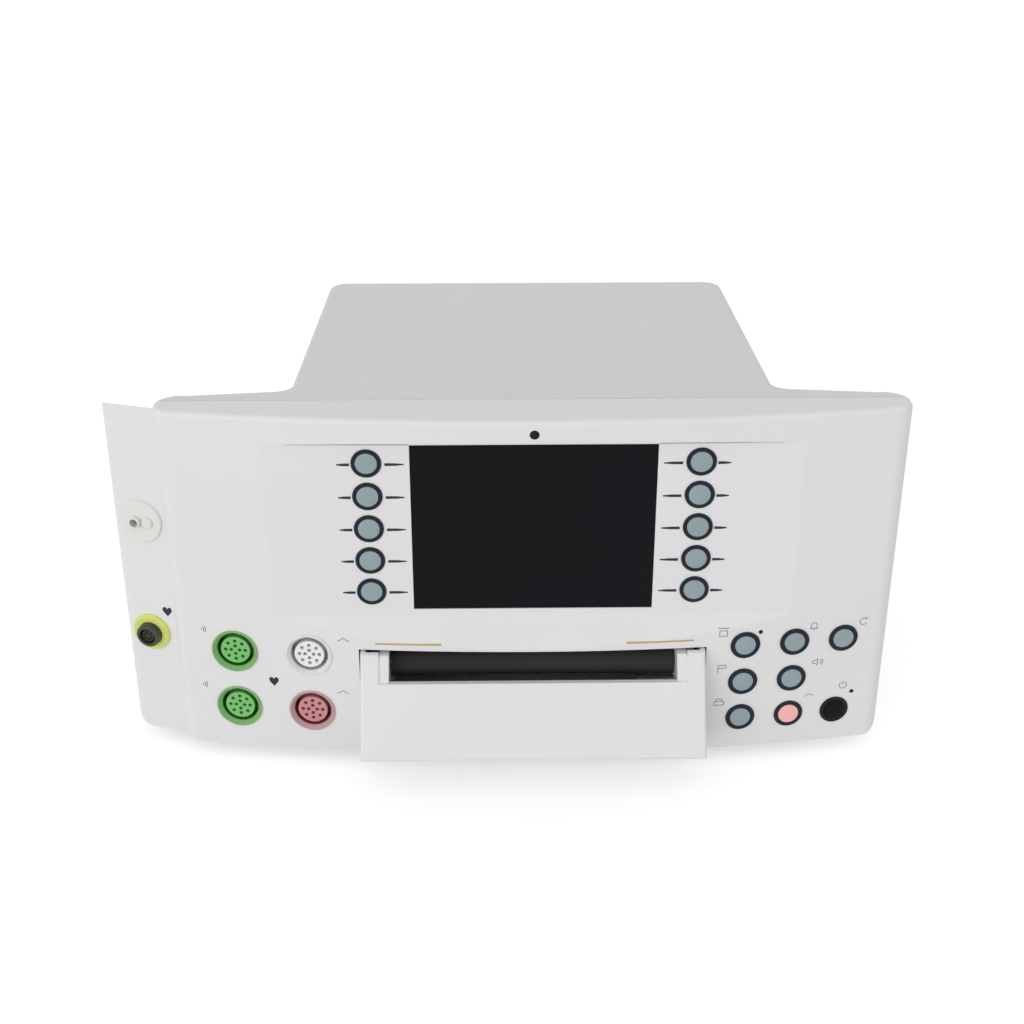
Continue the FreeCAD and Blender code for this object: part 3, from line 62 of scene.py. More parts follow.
# Camera at the photograph's place, in metres and degrees
CAMERA_PLACE = (-0.0071, -0.78155, 0.4960)
CAMERA_TURN = (63.34, 0.0, -0.81)
CAMERA_LENS = 55.1
SENSOR_WIDTH = 36.0

# Light: strength of the surroundings, and a wide soft lamp low on the left, its angles in degrees
AMBIENT = 0.71
LAMP_STRENGTH = 1.70
LAMP_SPREAD = 60.0
LAMP_TILT = 88.0
LAMP_TURN = -32.0

# Floor: its paint, and the white that is added where the background is seen
FLOOR_REACH = 8.0
FLOOR_LEVEL = -0.0004
FLOOR_CORNERS = ((-1, -1), (1, -1), (1, 1), (-1, 1))
FLOOR_COLOUR = (0.8, 0.8, 0.8, 1.0)
FLOOR_ROUGHNESS = 0.9
FLOOR_LIFT = 0.46
WHITE = (1.0, 1.0, 1.0, 1.0)

# Socket collars: rim colours, darker groove colours that are painted shade for the recess, and the radius
# at which one turns into the other
COLLAR_COLOURS = {
    "green": ((0.22, 0.45, 0.165), (0.03, 0.24, 0.022)),
    "white": ((0.77, 0.77, 0.77), (0.60, 0.60, 0.60)),
    "pink": ((0.54, 0.345, 0.345), (0.30, 0.07, 0.075)),
}
GROOVE_RADIUS = 9.75 * MM
GROOVE_EDGE = 0.1 * MM

# Dish of a collar: how far its outer edge and the edge of its groove lie behind the solid's rim
DISH_RADIUS = 11.6 * MM
DISH_EDGE_DROP = 1.2 * MM
DISH_GROOVE_DROP = 3.4 * MM
DISH_RIM_DEPTH = 1.0 * MM

# Face of an insert: how far it lies behind the solid's face, and how much wider it is
INSERT_DROP = 2.0 * MM
INSERT_SPREAD = 1.05
WELD_DISTANCE = 0.005 * MM
SHARP_ANGLE = math.radians(30.0)

# Printed marks: thickness in metres, longest step in millimetres, and places across in half widths
PRINT_PROUD = 0.05 * MM
PRINT_SINK = 0.15 * MM
PRINT_STEP = 0.5
PRINT_ACROSS = (1.0, 0.5, 0.0, -0.5, -1.0)

# Rays that look for a face start this far outside the part, in metres
RAY_START = 1.0

# Places of the colour sockets on a mix node
MIX_FIRST = 6
MIX_SECOND = 7
MIX_RESULT = 2

# Material textures: the range a noise covers, scales per metre and heights in metres
NOISE_LOW = 0.3
NOISE_HIGH = 0.7
CLOUD_SCALE = 14.0
PATCH_SCALE = 60.0
PATCH_GLOSS = 0.05
GRAIN_HEIGHT = 0.04 * MM
METAL_LINE_SCALE = 900.0
METAL_LINE_HEIGHT = 0.02 * MM
METAL_LINE_BUMP = 0.15
METAL_LINE_SHADE = 0.9
METAL_GLOSS = 0.07
SCREEN_COLOURS = ((0.0062, 0.0058, 0.0072), (0.0080, 0.0064, 0.0108))
SCREEN_CAST_SCALE = 7.0
SCREEN_SMEAR_SCALE = 40.0
SCREEN_ROUGHNESS = (0.10, 0.18)
SCREEN_SPECULAR = 0.07
BOARD_COLOURS = {
    "Color1": (0.012, 0.10, 0.035, 1.0),
    "Color2": (0.016, 0.13, 0.045, 1.0),
    "Mortar": (0.05, 0.22, 0.08, 1.0),
}
BOARD_TRACK_SCALE = 120.0
BOARD_TRACK_WIDTH = 0.06
BOARD_TRACK_HEIGHT = 0.03 * MM
BOARD_TRACK_BUMP = 0.2
BOARD_GLOSS_SCALE = 80.0
BOARD_ROUGHNESS = (0.28, 0.42)
INK_SCALE = 1500.0
INK_PALE = 0.6
INK_THINNEST = 0.03
INK_ROUGHNESS = 0.6
INK_SPECULAR = 0.25
COLLAR_CLOUD_SCALE = 300.0
COLLAR_TONE = 0.05
COLLAR_ROUGHNESS = (0.36, 0.46)
COLLAR_SPECULAR = 0.35
COLLAR_GRAIN_SCALE = 2000.0
COLLAR_GRAIN = 0.1


# Material nodes

def shader_of(name):
    made = bpy.data.materials.new(name)
    made.use_nodes = True
    return made, made.node_tree, made.node_tree.nodes["Principled BSDF"]


def object_coords(tree):
    return tree.nodes.new("ShaderNodeTexCoord").outputs["Object"]


def noise(tree, coords, scale, detail):
    made = tree.nodes.new("ShaderNodeTexNoise")
    made.inputs["Scale"].default_value = scale
    made.inputs["Detail"].default_value = detail
    tree.links.new(coords, made.inputs["Vector"])
    return made.outputs["Fac"]


def ramp(tree, factor, low, high):
    """Colour that goes from low to high over the range that a noise covers."""
    made = tree.nodes.new("ShaderNodeValToRGB")
    first, second = made.color_ramp.elements
    first.position = NOISE_LOW
    second.position = NOISE_HIGH
    first.color = (*low, 1.0)
    second.color = (*high, 1.0)
    tree.links.new(factor, made.inputs["Fac"])
    return made.outputs["Color"]


def spread(tree, factor, low, high):
    """Number that goes from low to high over the range that a noise covers."""
    made = tree.nodes.new("ShaderNodeMapRange")
    made.inputs["From Min"].default_value = NOISE_LOW
    made.inputs["From Max"].default_value = NOISE_HIGH
    made.inputs["To Min"].default_value = low
    made.inputs["To Max"].default_value = high
    tree.links.new(factor, made.inputs["Value"])
    return made.outputs["Result"]


def mixed(tree, factor, first, second):
    """Colour that goes from the first to the second with the factor; each is a colour or a socket."""
    made = tree.nodes.new("ShaderNodeMix")
    made.data_type = "RGBA"
    tree.links.new(factor, made.inputs["Factor"])
    for place, colour in ((MIX_FIRST, first), (MIX_SECOND, second)):
        if isinstance(colour, bpy.types.NodeSocket):
            tree.links.new(colour, made.inputs[place])
        else:
            made.inputs[place].default_value = (*colour, 1.0)
    return made.outputs[MIX_RESULT]


def vector_math(tree, operation, output, vector, other=None):
    made = tree.nodes.new("ShaderNodeVectorMath")
    made.operation = operation
    tree.links.new(vector, made.inputs[0])
    if other is not None:
        made.inputs[1].default_value = other
    return made.outputs[output]


def stretched(tree, coords, scale):
    made = tree.nodes.new("ShaderNodeMapping")
    made.inputs["Scale"].default_value = scale
    tree.links.new(coords, made.inputs["Vector"])
    return made.outputs["Vector"]


def bumped(tree, shader, height, strength, distance):
    made = tree.nodes.new("ShaderNodeBump")
    made.inputs["Strength"].default_value = strength
    made.inputs["Distance"].default_value = distance
    tree.links.new(height, made.inputs["Height"])
    tree.links.new(made.outputs["Normal"], shader.inputs["Normal"])


# Materials

def moulded(name, colour, roughness, tone=0.03, grain=0.22, grain_size=0.7, specular=0.4):
    """Moulded plastic or rubber: cloudy tone, uneven gloss and a fine grain, its size in millimetres."""
    made, tree, shader = shader_of(name)
    coords = object_coords(tree)
    cloud = noise(tree, coords, CLOUD_SCALE, detail=4.0)
    low = [c * (1 - tone) for c in colour]
    high = [min(1.0, c * (1 + tone)) for c in colour]
    tree.links.new(ramp(tree, cloud, low, high), shader.inputs["Base Color"])
    patch = noise(tree, coords, PATCH_SCALE, detail=3.0)
    gloss = spread(tree, patch, roughness - PATCH_GLOSS, roughness + PATCH_GLOSS)
    tree.links.new(gloss, shader.inputs["Roughness"])
    shader.inputs["Specular IOR Level"].default_value = specular
    grains = noise(tree, coords, 1 / (grain_size * MM), detail=2.0)
    bumped(tree, shader, grains, grain, GRAIN_HEIGHT)
    return made


def metal(name, colour, roughness, along):
    """Bare metal with fine lines left by drawing or milling, stretched along one axis."""
    made, tree, shader = shader_of(name)
    lines = noise(tree, stretched(tree, object_coords(tree), along), METAL_LINE_SCALE, detail=3.0)
    low = [c * METAL_LINE_SHADE for c in colour]
    tree.links.new(ramp(tree, lines, low, colour), shader.inputs["Base Color"])
    gloss = spread(tree, lines, roughness - METAL_GLOSS, roughness + METAL_GLOSS)
    tree.links.new(gloss, shader.inputs["Roughness"])
    shader.inputs["Metallic"].default_value = 1.0
    bumped(tree, shader, lines, METAL_LINE_BUMP, METAL_LINE_HEIGHT)
    return made


def screen_glass(name):
    """Dark unlit display behind a smooth window, with a faint violet cast in places."""
    made, tree, shader = shader_of(name)
    coords = object_coords(tree)
    cast = noise(tree, coords, SCREEN_CAST_SCALE, detail=1.0)
    tree.links.new(ramp(tree, cast, *SCREEN_COLOURS), shader.inputs["Base Color"])
    smear = noise(tree, coords, SCREEN_SMEAR_SCALE, detail=4.0)
    tree.links.new(spread(tree, smear, *SCREEN_ROUGHNESS), shader.inputs["Roughness"])
    shader.inputs["Specular IOR Level"].default_value = SCREEN_SPECULAR
    return made


def board(name):
    """Circuit board: solder mask over a grid of tracks, with paler lands."""
    made, tree, shader = shader_of(name)
    coords = object_coords(tree)
    tracks = tree.nodes.new("ShaderNodeTexBrick")
    tracks.inputs["Scale"].default_value = BOARD_TRACK_SCALE
    tracks.inputs["Mortar Size"].default_value = BOARD_TRACK_WIDTH
    for socket, colour in BOARD_COLOURS.items():
        tracks.inputs[socket].default_value = colour
    tree.links.new(coords, tracks.inputs["Vector"])
    tree.links.new(tracks.outputs["Color"], shader.inputs["Base Color"])
    gloss = noise(tree, coords, BOARD_GLOSS_SCALE, detail=3.0)
    tree.links.new(spread(tree, gloss, *BOARD_ROUGHNESS), shader.inputs["Roughness"])
    bumped(tree, shader, tracks.outputs["Fac"], BOARD_TRACK_BUMP, BOARD_TRACK_HEIGHT)
    return made


def ink_and_shadow_paint(name, colour):
    """Screen print, slightly uneven in cover; the same paint also makes a painted shadow."""
    made, tree, shader = shader_of(name)
    cover = noise(tree, object_coords(tree), INK_SCALE, detail=2.0)
    pale = [c + (INK_PALE - c) * INK_THINNEST for c in colour]
    tree.links.new(ramp(tree, cover, colour, pale), shader.inputs["Base Color"])
    shader.inputs["Roughness"].default_value = INK_ROUGHNESS
    shader.inputs["Specular IOR Level"].default_value = INK_SPECULAR
    return made


def axis_of(node):
    """Middle of a round part's rim and the direction it faces, which is that of its largest flat face."""
    mesh = nodes[node].data
    facing = max(mesh.polygons, key=lambda face: face.area).normal.copy()
    if facing.y > 0:
        facing.negate()
    front = max(v.co.dot(facing) for v in mesh.vertices)
    rim = [v.co for v in mesh.vertices if front - v.co.dot(facing) < GROOVE_EDGE]
    low = Vector(min(point[i] for point in rim) for i in range(3))
    high = Vector(max(point[i] for point in rim) for i in range(3))
    return (low + high) / 2, facing


def off_axis(tree, coords, place, facing):
    """Distance from the axis through a place, in metres, for the object's own coordinates."""
    apart = vector_math(tree, "SUBTRACT", "Vector", coords, place)
    across = vector_math(tree, "CROSS_PRODUCT", "Vector", apart, facing)
    return vector_math(tree, "LENGTH", "Value", across)


def groove_shaded(name, rim, groove, node):
    """Socket collar whose keyed groove is painted darker than its rim, as painted shade in the recess."""
    made, tree, shader = shader_of(name)
    coords = object_coords(tree)
    outside = tree.nodes.new("ShaderNodeMapRange")
    outside.inputs["From Min"].default_value = GROOVE_RADIUS
    outside.inputs["From Max"].default_value = GROOVE_RADIUS + GROOVE_EDGE
    tree.links.new(off_axis(tree, coords, *axis_of(node)), outside.inputs["Value"])
    cloud = noise(tree, coords, COLLAR_CLOUD_SCALE, detail=3.0)
    low = [c * (1 - COLLAR_TONE) for c in rim]
    high = [c * (1 + COLLAR_TONE) for c in rim]
    # Painted shade: inside the groove's radius the darker groove colour stands for the shade in the
    # recess
    colour = mixed(tree, outside.outputs["Result"], groove, ramp(tree, cloud, low, high))
    tree.links.new(colour, shader.inputs["Base Color"])
    patch = noise(tree, coords, PATCH_SCALE, detail=3.0)
    tree.links.new(spread(tree, patch, *COLLAR_ROUGHNESS), shader.inputs["Roughness"])
    shader.inputs["Specular IOR Level"].default_value = COLLAR_SPECULAR
    grains = noise(tree, coords, COLLAR_GRAIN_SCALE, detail=2.0)
    bumped(tree, shader, grains, COLLAR_GRAIN, GRAIN_HEIGHT)
    return made


def ringed(name, colour, other, node):
    """Plastic of the rings round the keys, in another colour round one of them."""
    made = moulded(name, colour, roughness=0.42, tone=0.1, grain=0.1, grain_size=0.4, specular=0.2)
    tree = made.node_tree
    shader = tree.nodes["Principled BSDF"]
    low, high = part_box(node)
    near = tree.nodes.new("ShaderNodeMath")
    near.operation = "LESS_THAN"
    near.inputs[1].default_value = high.z - low.z
    apart = vector_math(tree, "DISTANCE", "Value", object_coords(tree), (low + high) / 2)
    tree.links.new(apart, near.inputs[0])
    common = shader.inputs["Base Color"].links[0].from_socket
    tree.links.new(mixed(tree, near.outputs[0], common, other), shader.inputs["Base Color"])
    return made


# Finishes; after its colour a moulding has roughness, tone, grain, grain size and specular level
FINISH = {
    "shell": moulded("shell_plastic", (0.775, 0.772, 0.775), 0.46, 0.012),
    "cover": moulded("cover_plastic", (0.705, 0.702, 0.708), 0.5, 0.012),
    "drawer": moulded("drawer_plastic", (0.785, 0.775, 0.790), 0.44, 0.012),
    "base": moulded("base_plastic", (0.58, 0.58, 0.59), 0.55, 0.03, 0.3),
    "key": moulded("key_plastic", (0.295, 0.37, 0.39), 0.5, 0.06, 0.12, 0.4, 0.3),
    "key_pink": moulded("pink_key_plastic", (0.94, 0.49, 0.48), 0.5, 0.04, 0.12, 0.4, 0.3),
    "key_black": moulded("black_key_plastic", (0.004, 0.0038, 0.0045), 0.5, 0.1, 0.12, 0.4, 0.1),
    "bezel": ringed("bezel_plastic", (0.009, 0.013, 0.024), (0.004, 0.004, 0.005), "power_key"),
    "lamp": moulded("lamp_plastic", (0.006, 0.006, 0.008), 0.3, 0.1, 0.05, 0.4, 0.2),
    "insert_green": moulded("green_insert_plastic", (0.195, 0.54, 0.16), 0.45, 0.05, 0.1, 0.5, 0.3),
    "insert_white": moulded("white_insert_plastic", (0.84, 0.84, 0.84), 0.45, 0.012, 0.1, 0.5),
    "insert_pink": moulded("pink_insert_plastic", (0.60, 0.265, 0.28), 0.45, 0.05, 0.1, 0.5, 0.3),
    "yellow": moulded("yellow_plastic", (0.68, 0.73, 0.19), 0.42, 0.06, 0.1, 0.5),
    "barrel": moulded("barrel_plastic", (0.05, 0.052, 0.033), 0.38, 0.15, 0.15, 0.5, 0.35),
    "core": moulded("core_plastic", (0.024, 0.026, 0.010), 0.5, 0.2, 0.15, 0.5, 0.3),
    "port": moulded("port_plastic", (0.765, 0.765, 0.735), 0.42, 0.02, 0.1, 0.5),
    "rubber": moulded("foot_rubber", (0.02, 0.02, 0.021), 0.75, 0.12, 0.5, 0.5, 0.25),
    "roller": moulded("roller_rubber", (0.042, 0.041, 0.042), 0.8, 0.1, 0.4, 0.4, 0.1),
    "dark": moulded("dark_plastic", (0.028, 0.027, 0.029), 0.6, 0.1, 0.3, 0.5, 0.15),
    "gear": moulded("gear_acetal", (0.70, 0.69, 0.65), 0.4, 0.03, 0.1, 0.4),
    "steel": metal("drawn_steel", (0.62, 0.62, 0.63), 0.32, (0.05, 1.0, 1.0)),
    "alloy": metal("milled_alloy", (0.70, 0.71, 0.72), 0.38, (1.0, 0.05, 1.0)),
    "sink": metal("black_sink_alloy", (0.05, 0.05, 0.055), 0.5, (1.0, 1.0, 0.05)),
    "board": board("circuit_board"),
    "screen": screen_glass("screen_window"),
    "print_navy": ink_and_shadow_paint("navy_ink", (0.016, 0.02, 0.045)),
    "print_grey": ink_and_shadow_paint("grey_ink", (0.16, 0.17, 0.19)),
    # Painted shade: grey paint for the shadow under the panel's ledge
    "painted_shadow": ink_and_shadow_paint("ledge_shadow_paint", (0.44, 0.44, 0.45)),
    "print_gold": ink_and_shadow_paint("gold_ink", (0.52, 0.38, 0.16)),
}

# Finish of each CAD node; the keys that aren't named here have the plain key's
NODE_FINISH = {
    "front_fascia": "shell", "rear_cover": "cover", "side_pod": "shell", "drawer_front": "drawer",
    "paper_tray": "drawer", "base_tray": "base", "rubber_feet": "rubber", "case_screws": "steel",
    "screen_lens": "screen", "lcd_module": "alloy", "soft_key_boards": "board",
    "function_key_board": "board", "tact_switches": "dark", "status_lamp": "lamp",
    "indicator_lenses": "lamp", "soft_key_bezels": "bezel", "function_key_bezels": "bezel",
    "pod_socket_collar": "yellow", "pod_socket_barrel": "barrel", "cuff_port": "port",
    "drawer_runners": "dark", "platen_roller": "roller", "platen_shaft": "steel",
    "platen_gear": "gear", "motor_pinion": "gear", "stepper_motor": "alloy", "print_head": "sink",
    "head_bridge": "dark", "main_board": "board", "power_supply": "alloy", "mains_inlet": "dark",
    "data_sockets": "dark", "loudspeaker": "dark", "function_key_7": "key_pink",
    "power_key": "key_black",
}
SOCKET_COLOURS = ("green", "green", "white", "pink")
for number, colour in enumerate(SOCKET_COLOURS, 1):
    collar = f"socket_collar_{number}"
    FINISH[f"collar_{number}"] = groove_shaded(f"{colour}_collar_{number}", *COLLAR_COLOURS[colour], collar)
    NODE_FINISH[collar] = f"collar_{number}"
    NODE_FINISH[f"socket_insert_{number}"] = f"insert_{colour}"

for name, part in nodes.items():
    part.data.materials.clear()
    part.data.materials.append(FINISH[NODE_FINISH.get(name, "key")])


# Printed marks and a painted shadow, which follow the face that carries them

def front_of(*names):
    """The surfaces of these nodes, to cast rays at."""
    points = []
    faces = []
    for name in names:
        mesh = nodes[name].data
        first = len(points)
        points += [v.co.copy() for v in mesh.vertices]
        faces += [[first + k for k in face.vertices] for face in mesh.polygons]
    return BVHTree.FromPolygons(points, faces)


FRONTS = {
    "fascia": front_of("front_fascia"),
    "pod": front_of("side_pod"),
    "drawer": front_of("drawer_front", "paper_tray"),
}


def on_front(carrier, x, z, proud):
    """The point of the carrier's front at x, z, both in millimetres, brought forward by proud."""
    start = Vector((x * MM, cad_box[0].y - RAY_START, z * MM))
    place = FRONTS[carrier].ray_cast(start, Vector((0.0, 1.0, 0.0)))[0]
    return place - Vector((0.0, proud, 0.0))


def sampled(points, widths, closed):
    """Points along a line no further apart than a step, each with its width."""
    whole = points + points[:1] if closed else points
    sizes = widths + widths[:1] if closed else widths
    row = []
    for k in range(len(whole) - 1):
        (x0, z0), (x1, z1) = whole[k], whole[k + 1]
        count = max(1, math.ceil(math.hypot(x1 - x0, z1 - z0) / PRINT_STEP))
        for i in range(count):
            t = i / count
            width = sizes[k] + (sizes[k + 1] - sizes[k]) * t
            row.append((x0 + (x1 - x0) * t, z0 + (z1 - z0) * t, width))
    if not closed:
        row.append((*whole[-1], sizes[-1]))
    return row


def add_line(bm, carrier, points, widths, closed=False, across=PRINT_ACROSS):
    """A flat line through points given in millimetres on the carrier's front, used for print and for
    painted shadow.
    """
    if not isinstance(widths, (list, tuple)):
        widths = [widths] * len(points)
    row = sampled(list(points), list(widths), closed)
    last = len(row) - 1
    rings = []
    for k, (x, z, width) in enumerate(row):
        before = row[k - 1] if k or closed else row[0]
        after = row[(k + 1) % len(row)] if k < last or closed else row[last]
        along = Vector((after[0] - before[0], after[1] - before[1])).normalized()
        side = Vector((-along.y, along.x)) * width / 2
        places = [(x + side.x * t, z + side.y * t) for t in across]
        front = [bm.verts.new(on_front(carrier, *p, PRINT_PROUD)) for p in places]
        back = [bm.verts.new(on_front(carrier, *p, -PRINT_SINK)) for p in places]
        rings.append(front + back[::-1])
    pairs = list(zip(rings, rings[1:]))
    if closed:
        pairs.append((rings[-1], rings[0]))
    for a, b in pairs:
        for i in range(len(a)):
            j = (i + 1) % len(a)
            bm.faces.new((a[i], a[j], b[j], b[i]))
    if not closed:
        bm.faces.new(rings[0])
        bm.faces.new(rings[-1])


def add_patch(bm, carrier, outline):
    """A filled printed shape with that outline, in millimetres."""
    front = [bm.verts.new(on_front(carrier, *p, PRINT_PROUD)) for p in outline]
    back = [bm.verts.new(on_front(carrier, *p, -PRINT_SINK)) for p in outline]
    faces = [bm.faces.new(front), bm.faces.new(back)]
    for k in range(len(outline)):
        j = (k + 1) % len(outline)
        bm.faces.new((front[k], front[j], back[j], back[k]))
    bmesh.ops.triangulate(bm, faces=faces)


def piece(name, bm, finish, body="console"):
    bmesh.ops.recalc_face_normals(bm, faces=bm.faces)
    mesh = bpy.data.meshes.new(name)
    bm.to_mesh(mesh)
    bm.free()
    made = bpy.data.objects.new(name, mesh)
    scene.collection.objects.link(made)
    made.data.materials.append(FINISH[finish])
    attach(made, body)
    return made


def middle(name):
    low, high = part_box(name)
    return (low.x + high.x) / 2 / MM, (low.z + high.z) / 2 / MM


def ring(centre, radius, start=0.0, end=360.0, count=20):
    """Points on an arc, its ends in degrees."""
    x, z = centre
    steps = count if end - start >= 360.0 else count + 1
    angles = [math.radians(start + (end - start) * k / count) for k in range(steps)]
    return [(x + radius * math.cos(a), z + radius * math.sin(a)) for a in angles]


def moved(points, centre):
    return [(centre[0] + x, centre[1] + z) for x, z in points]


# Round sockets: the collars are dished, and the inserts sit back in them

def reshaped(node, name, move, finish):
    """A piece that stands for a node: the node's surface with its points moved by a rule."""
    bm = bmesh.new()
    bm.from_mesh(nodes[node].data)
    for vert in bm.verts:
        vert.co = move(vert.co)
    bmesh.ops.remove_doubles(bm, verts=bm.verts, dist=WELD_DISTANCE)
    made = piece(name, bm, finish)
    # The normals that come with the node belong to its old shape
    made.data.attributes.remove(made.data.attributes["custom_normal"])
    made.data.shade_smooth()
    made.data.set_sharp_from_angle(angle=SHARP_ANGLE)
    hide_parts(node)


def dished(centre, facing):
    """Rule that turns a flat raised rim into a dish, deepest at the groove, and halves depths in it."""
    def move(point):
        apart = point - centre
        depth = -apart.dot(facing)
        if depth > DISH_RIM_DEPTH:
            return point
        radius = (apart + facing * depth).length
        inward = max(0.0, (DISH_RADIUS - radius) / (DISH_RADIUS - GROOVE_RADIUS))
        drop = DISH_EDGE_DROP + (DISH_GROOVE_DROP - DISH_EDGE_DROP) * min(1.0, inward)
        return point - facing * (drop - depth / 2)
    return move


def lowered(centre, facing, front):
    """Rule that brings the front face of an insert back and widens it."""
    def move(point):
        if front - point.dot(facing) >= INSERT_DROP:
            return point
        apart = point - centre
        along = facing * apart.dot(facing)
        return centre + along + (apart - along) * INSERT_SPREAD - facing * INSERT_DROP
    return move


for number, colour in enumerate(SOCKET_COLOURS, 1):
    collar = f"socket_collar_{number}"
    centre, facing = axis_of(collar)
    dish = dished(centre, facing)
    reshaped(collar, f"socket_dish_{number}", dish, f"collar_{number}")
    insert = f"socket_insert_{number}"
    front = max(v.co.dot(facing) for v in nodes[insert].data.vertices)
    face = lowered(centre, facing, front)
    reshaped(insert, f"socket_face_{number}", face, f"insert_{colour}")


# Core of the pod's socket, with its contacts; a profile gives radius and depth

def add_turned(bm, centre, facing, profile, count):
    """A closed body of revolution; the profile gives radius and depth behind the centre."""
    side = facing.orthogonal().normalized()
    up = facing.cross(side)
    turns = [FULL_TURN * k / count for k in range(count)]
    rings = []
    for radius, depth in profile:
        places = [side * math.cos(t) * radius + up * math.sin(t) * radius - facing * depth for t in turns]
        rings.append([bm.verts.new(centre + place) for place in places])
    for a, b in zip(rings, rings[1:]):
        for i in range(count):
            j = (i + 1) % count
            bm.faces.new((a[i], a[j], b[j], b[i]))
    bm.faces.new(rings[0])
    bm.faces.new(rings[-1])


CORE_PROFILE = [(3.2 * MM, 0.9 * MM), (3.6 * MM, 1.3 * MM), (3.6 * MM, 15.6 * MM)]
CORE_SIDES = 48
CONTACT_PROFILE = [(0.25 * MM, 0.3 * MM), (0.4 * MM, 0.45 * MM), (0.4 * MM, 1.5 * MM)]
CONTACT_CIRCLE = 2.0 * MM
CONTACT_COUNT = 6
CONTACT_SIDES = 12
centre, facing = axis_of("pod_socket_barrel")
core = bmesh.new()
add_turned(core, centre, facing, CORE_PROFILE, CORE_SIDES)
piece("pod_socket_core", core, "core")
contacts = bmesh.new()
for k in range(CONTACT_COUNT):
    turn = Matrix.Rotation(FULL_TURN * k / CONTACT_COUNT, 3, facing)
    place = turn @ facing.orthogonal().normalized() * CONTACT_CIRCLE
    add_turned(contacts, centre + place, facing, CONTACT_PROFILE, CONTACT_SIDES)
piece("pod_socket_contacts", contacts, "lamp")

# Places of the marks below are measured from the middle of the screen, and from the floor
SCREEN_MIDDLE = (middle("screen_lens")[0], 0.0)

# Lead lines from each soft key, outwards and towards the screen, thinner away from the key
SOFT_KEY_ROWS = 5
LEAD_OUTER = (8.3, 14.6)
LEAD_INNER = (9.0, 18.4)
LEAD_WIDTHS = (1.5, 1.4, 0.6)
LEAD_BREAK = 0.55
LEAD_DROP = 0.75
marks = bmesh.new()
for side, outward in (("left", -1.0), ("right", 1.0)):
    for number in range(1, SOFT_KEY_ROWS + 1):
        x, z = middle(f"soft_key_{side}_{number}")
        for direction, (near, far) in ((outward, LEAD_OUTER), (-outward, LEAD_INNER)):
            half = near + (far - near) * LEAD_BREAK
            line = [(x + direction * d, z - LEAD_DROP) for d in (near, half, far)]
            add_line(marks, "fascia", line, LEAD_WIDTHS)
piece("soft_key_lead_lines", marks, "print_navy")

# Painted shadow: a dark line on the panel just under its ledge, for the shade the ledge casts, strongest
# beside the screen
LEDGE_SHADOW_ABOVE_SCREEN = 0.6
LEDGE_SHADOW_REACH = (61.4, 92.0, 122.0)
LEDGE_SHADOW_WIDTHS = (0.9, 0.6, 0.2)
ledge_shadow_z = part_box("screen_lens")[1].z / MM + LEDGE_SHADOW_ABOVE_SCREEN
marks = bmesh.new()
for side in (-1.0, 1.0):
    line = [(side * x, ledge_shadow_z) for x in LEDGE_SHADOW_REACH]
    add_line(marks, "fascia", moved(line, SCREEN_MIDDLE), LEDGE_SHADOW_WIDTHS)
piece("painted_ledge_shadow", marks, "painted_shadow")

# Thin gold lines above the paper drawer
GOLD_LINES = (((-81.25, 73.5), (-47.25, 73.7)), ((48.25, 74.0), (83.05, 74.15)))
GOLD_WIDTH = 1.0
marks = bmesh.new()
for line in GOLD_LINES:
    add_line(marks, "fascia", moved(line, SCREEN_MIDDLE), GOLD_WIDTH)
piece("gold_lines", marks, "print_gold")

# Hearts that mark a patient connection, from the usual heart curve
HEARTS = (
    ("fascia", "heart_on_fascia", (-135.55, 48.0)),
    ("pod", "heart_on_pod", (-190.95, 81.5)),
)
HEART_SIZE = 0.16
HEART_STRETCH = 1.25
HEART_POINTS = 28
HEART_ACROSS = 16.0
HEART_UP = (13.0, -5.0, -2.0, -1.0)


def heart(centre):
    shape = []
    for k in range(HEART_POINTS):
        t = FULL_TURN * k / HEART_POINTS
        x = HEART_ACROSS * math.sin(t) ** 3
        z = sum(share * math.cos(wave * t) for wave, share in enumerate(HEART_UP, 1))
        shape.append((x * HEART_SIZE, z * HEART_SIZE * HEART_STRETCH))
    return moved(moved(shape, centre), SCREEN_MIDDLE)


for carrier, name, centre in HEARTS:
    marks = bmesh.new()
    add_patch(marks, carrier, heart(centre))
    piece(name, marks, "print_navy")

# Plain line signs beside the function keys: the place of each, and its strokes, closed or open
SIGN_WIDTH = 0.38
SHEET = [(-2.0, -2.6), (2.0, -2.6), (2.0, 0.6), (-2.0, 0.6)]
SHEET_EDGE = [(-2.8, 2.0), (2.8, 2.0)]
BELL_SIDE = [(0.7, 1.8), (1.4, 0.8), (1.5, -0.8), (2.2, -1.6)]
BELL = [(-x, z) for x, z in BELL_SIDE[::-1]] + BELL_SIDE
BELL_CLAPPER = [(-0.5, -2.3), (0.5, -2.3)]
CYCLE_ARROW = [(0.6, 1.3), (1.7, 1.3), (1.7, 2.5)]
FLAG = [(-2.0, -2.8), (-2.0, 2.0), (2.2, 2.0), (2.2, 0.2), (-1.8, 0.2)]
SPEAKER = [(-2.4, -0.8), (-1.2, -0.8), (0.2, -2.0), (0.2, 2.0), (-1.2, 0.8), (-2.4, 0.8)]
SPEAKER_WAVES = (ring((0.6, 0), 1.4, -50, 50, 8), ring((0.6, 0), 2.4, -50, 50, 10))
PRINTER = [(-2.6, -1.6), (2.6, -1.6), (2.6, 0.6), (-2.6, 0.6)]
PRINTER_SHEET = [(-1.5, 0.6), (-1.5, 2.2), (1.5, 2.2), (1.5, 0.6)]
STANDBY_BAR = [(0, 0.4), (0, 2.6)]
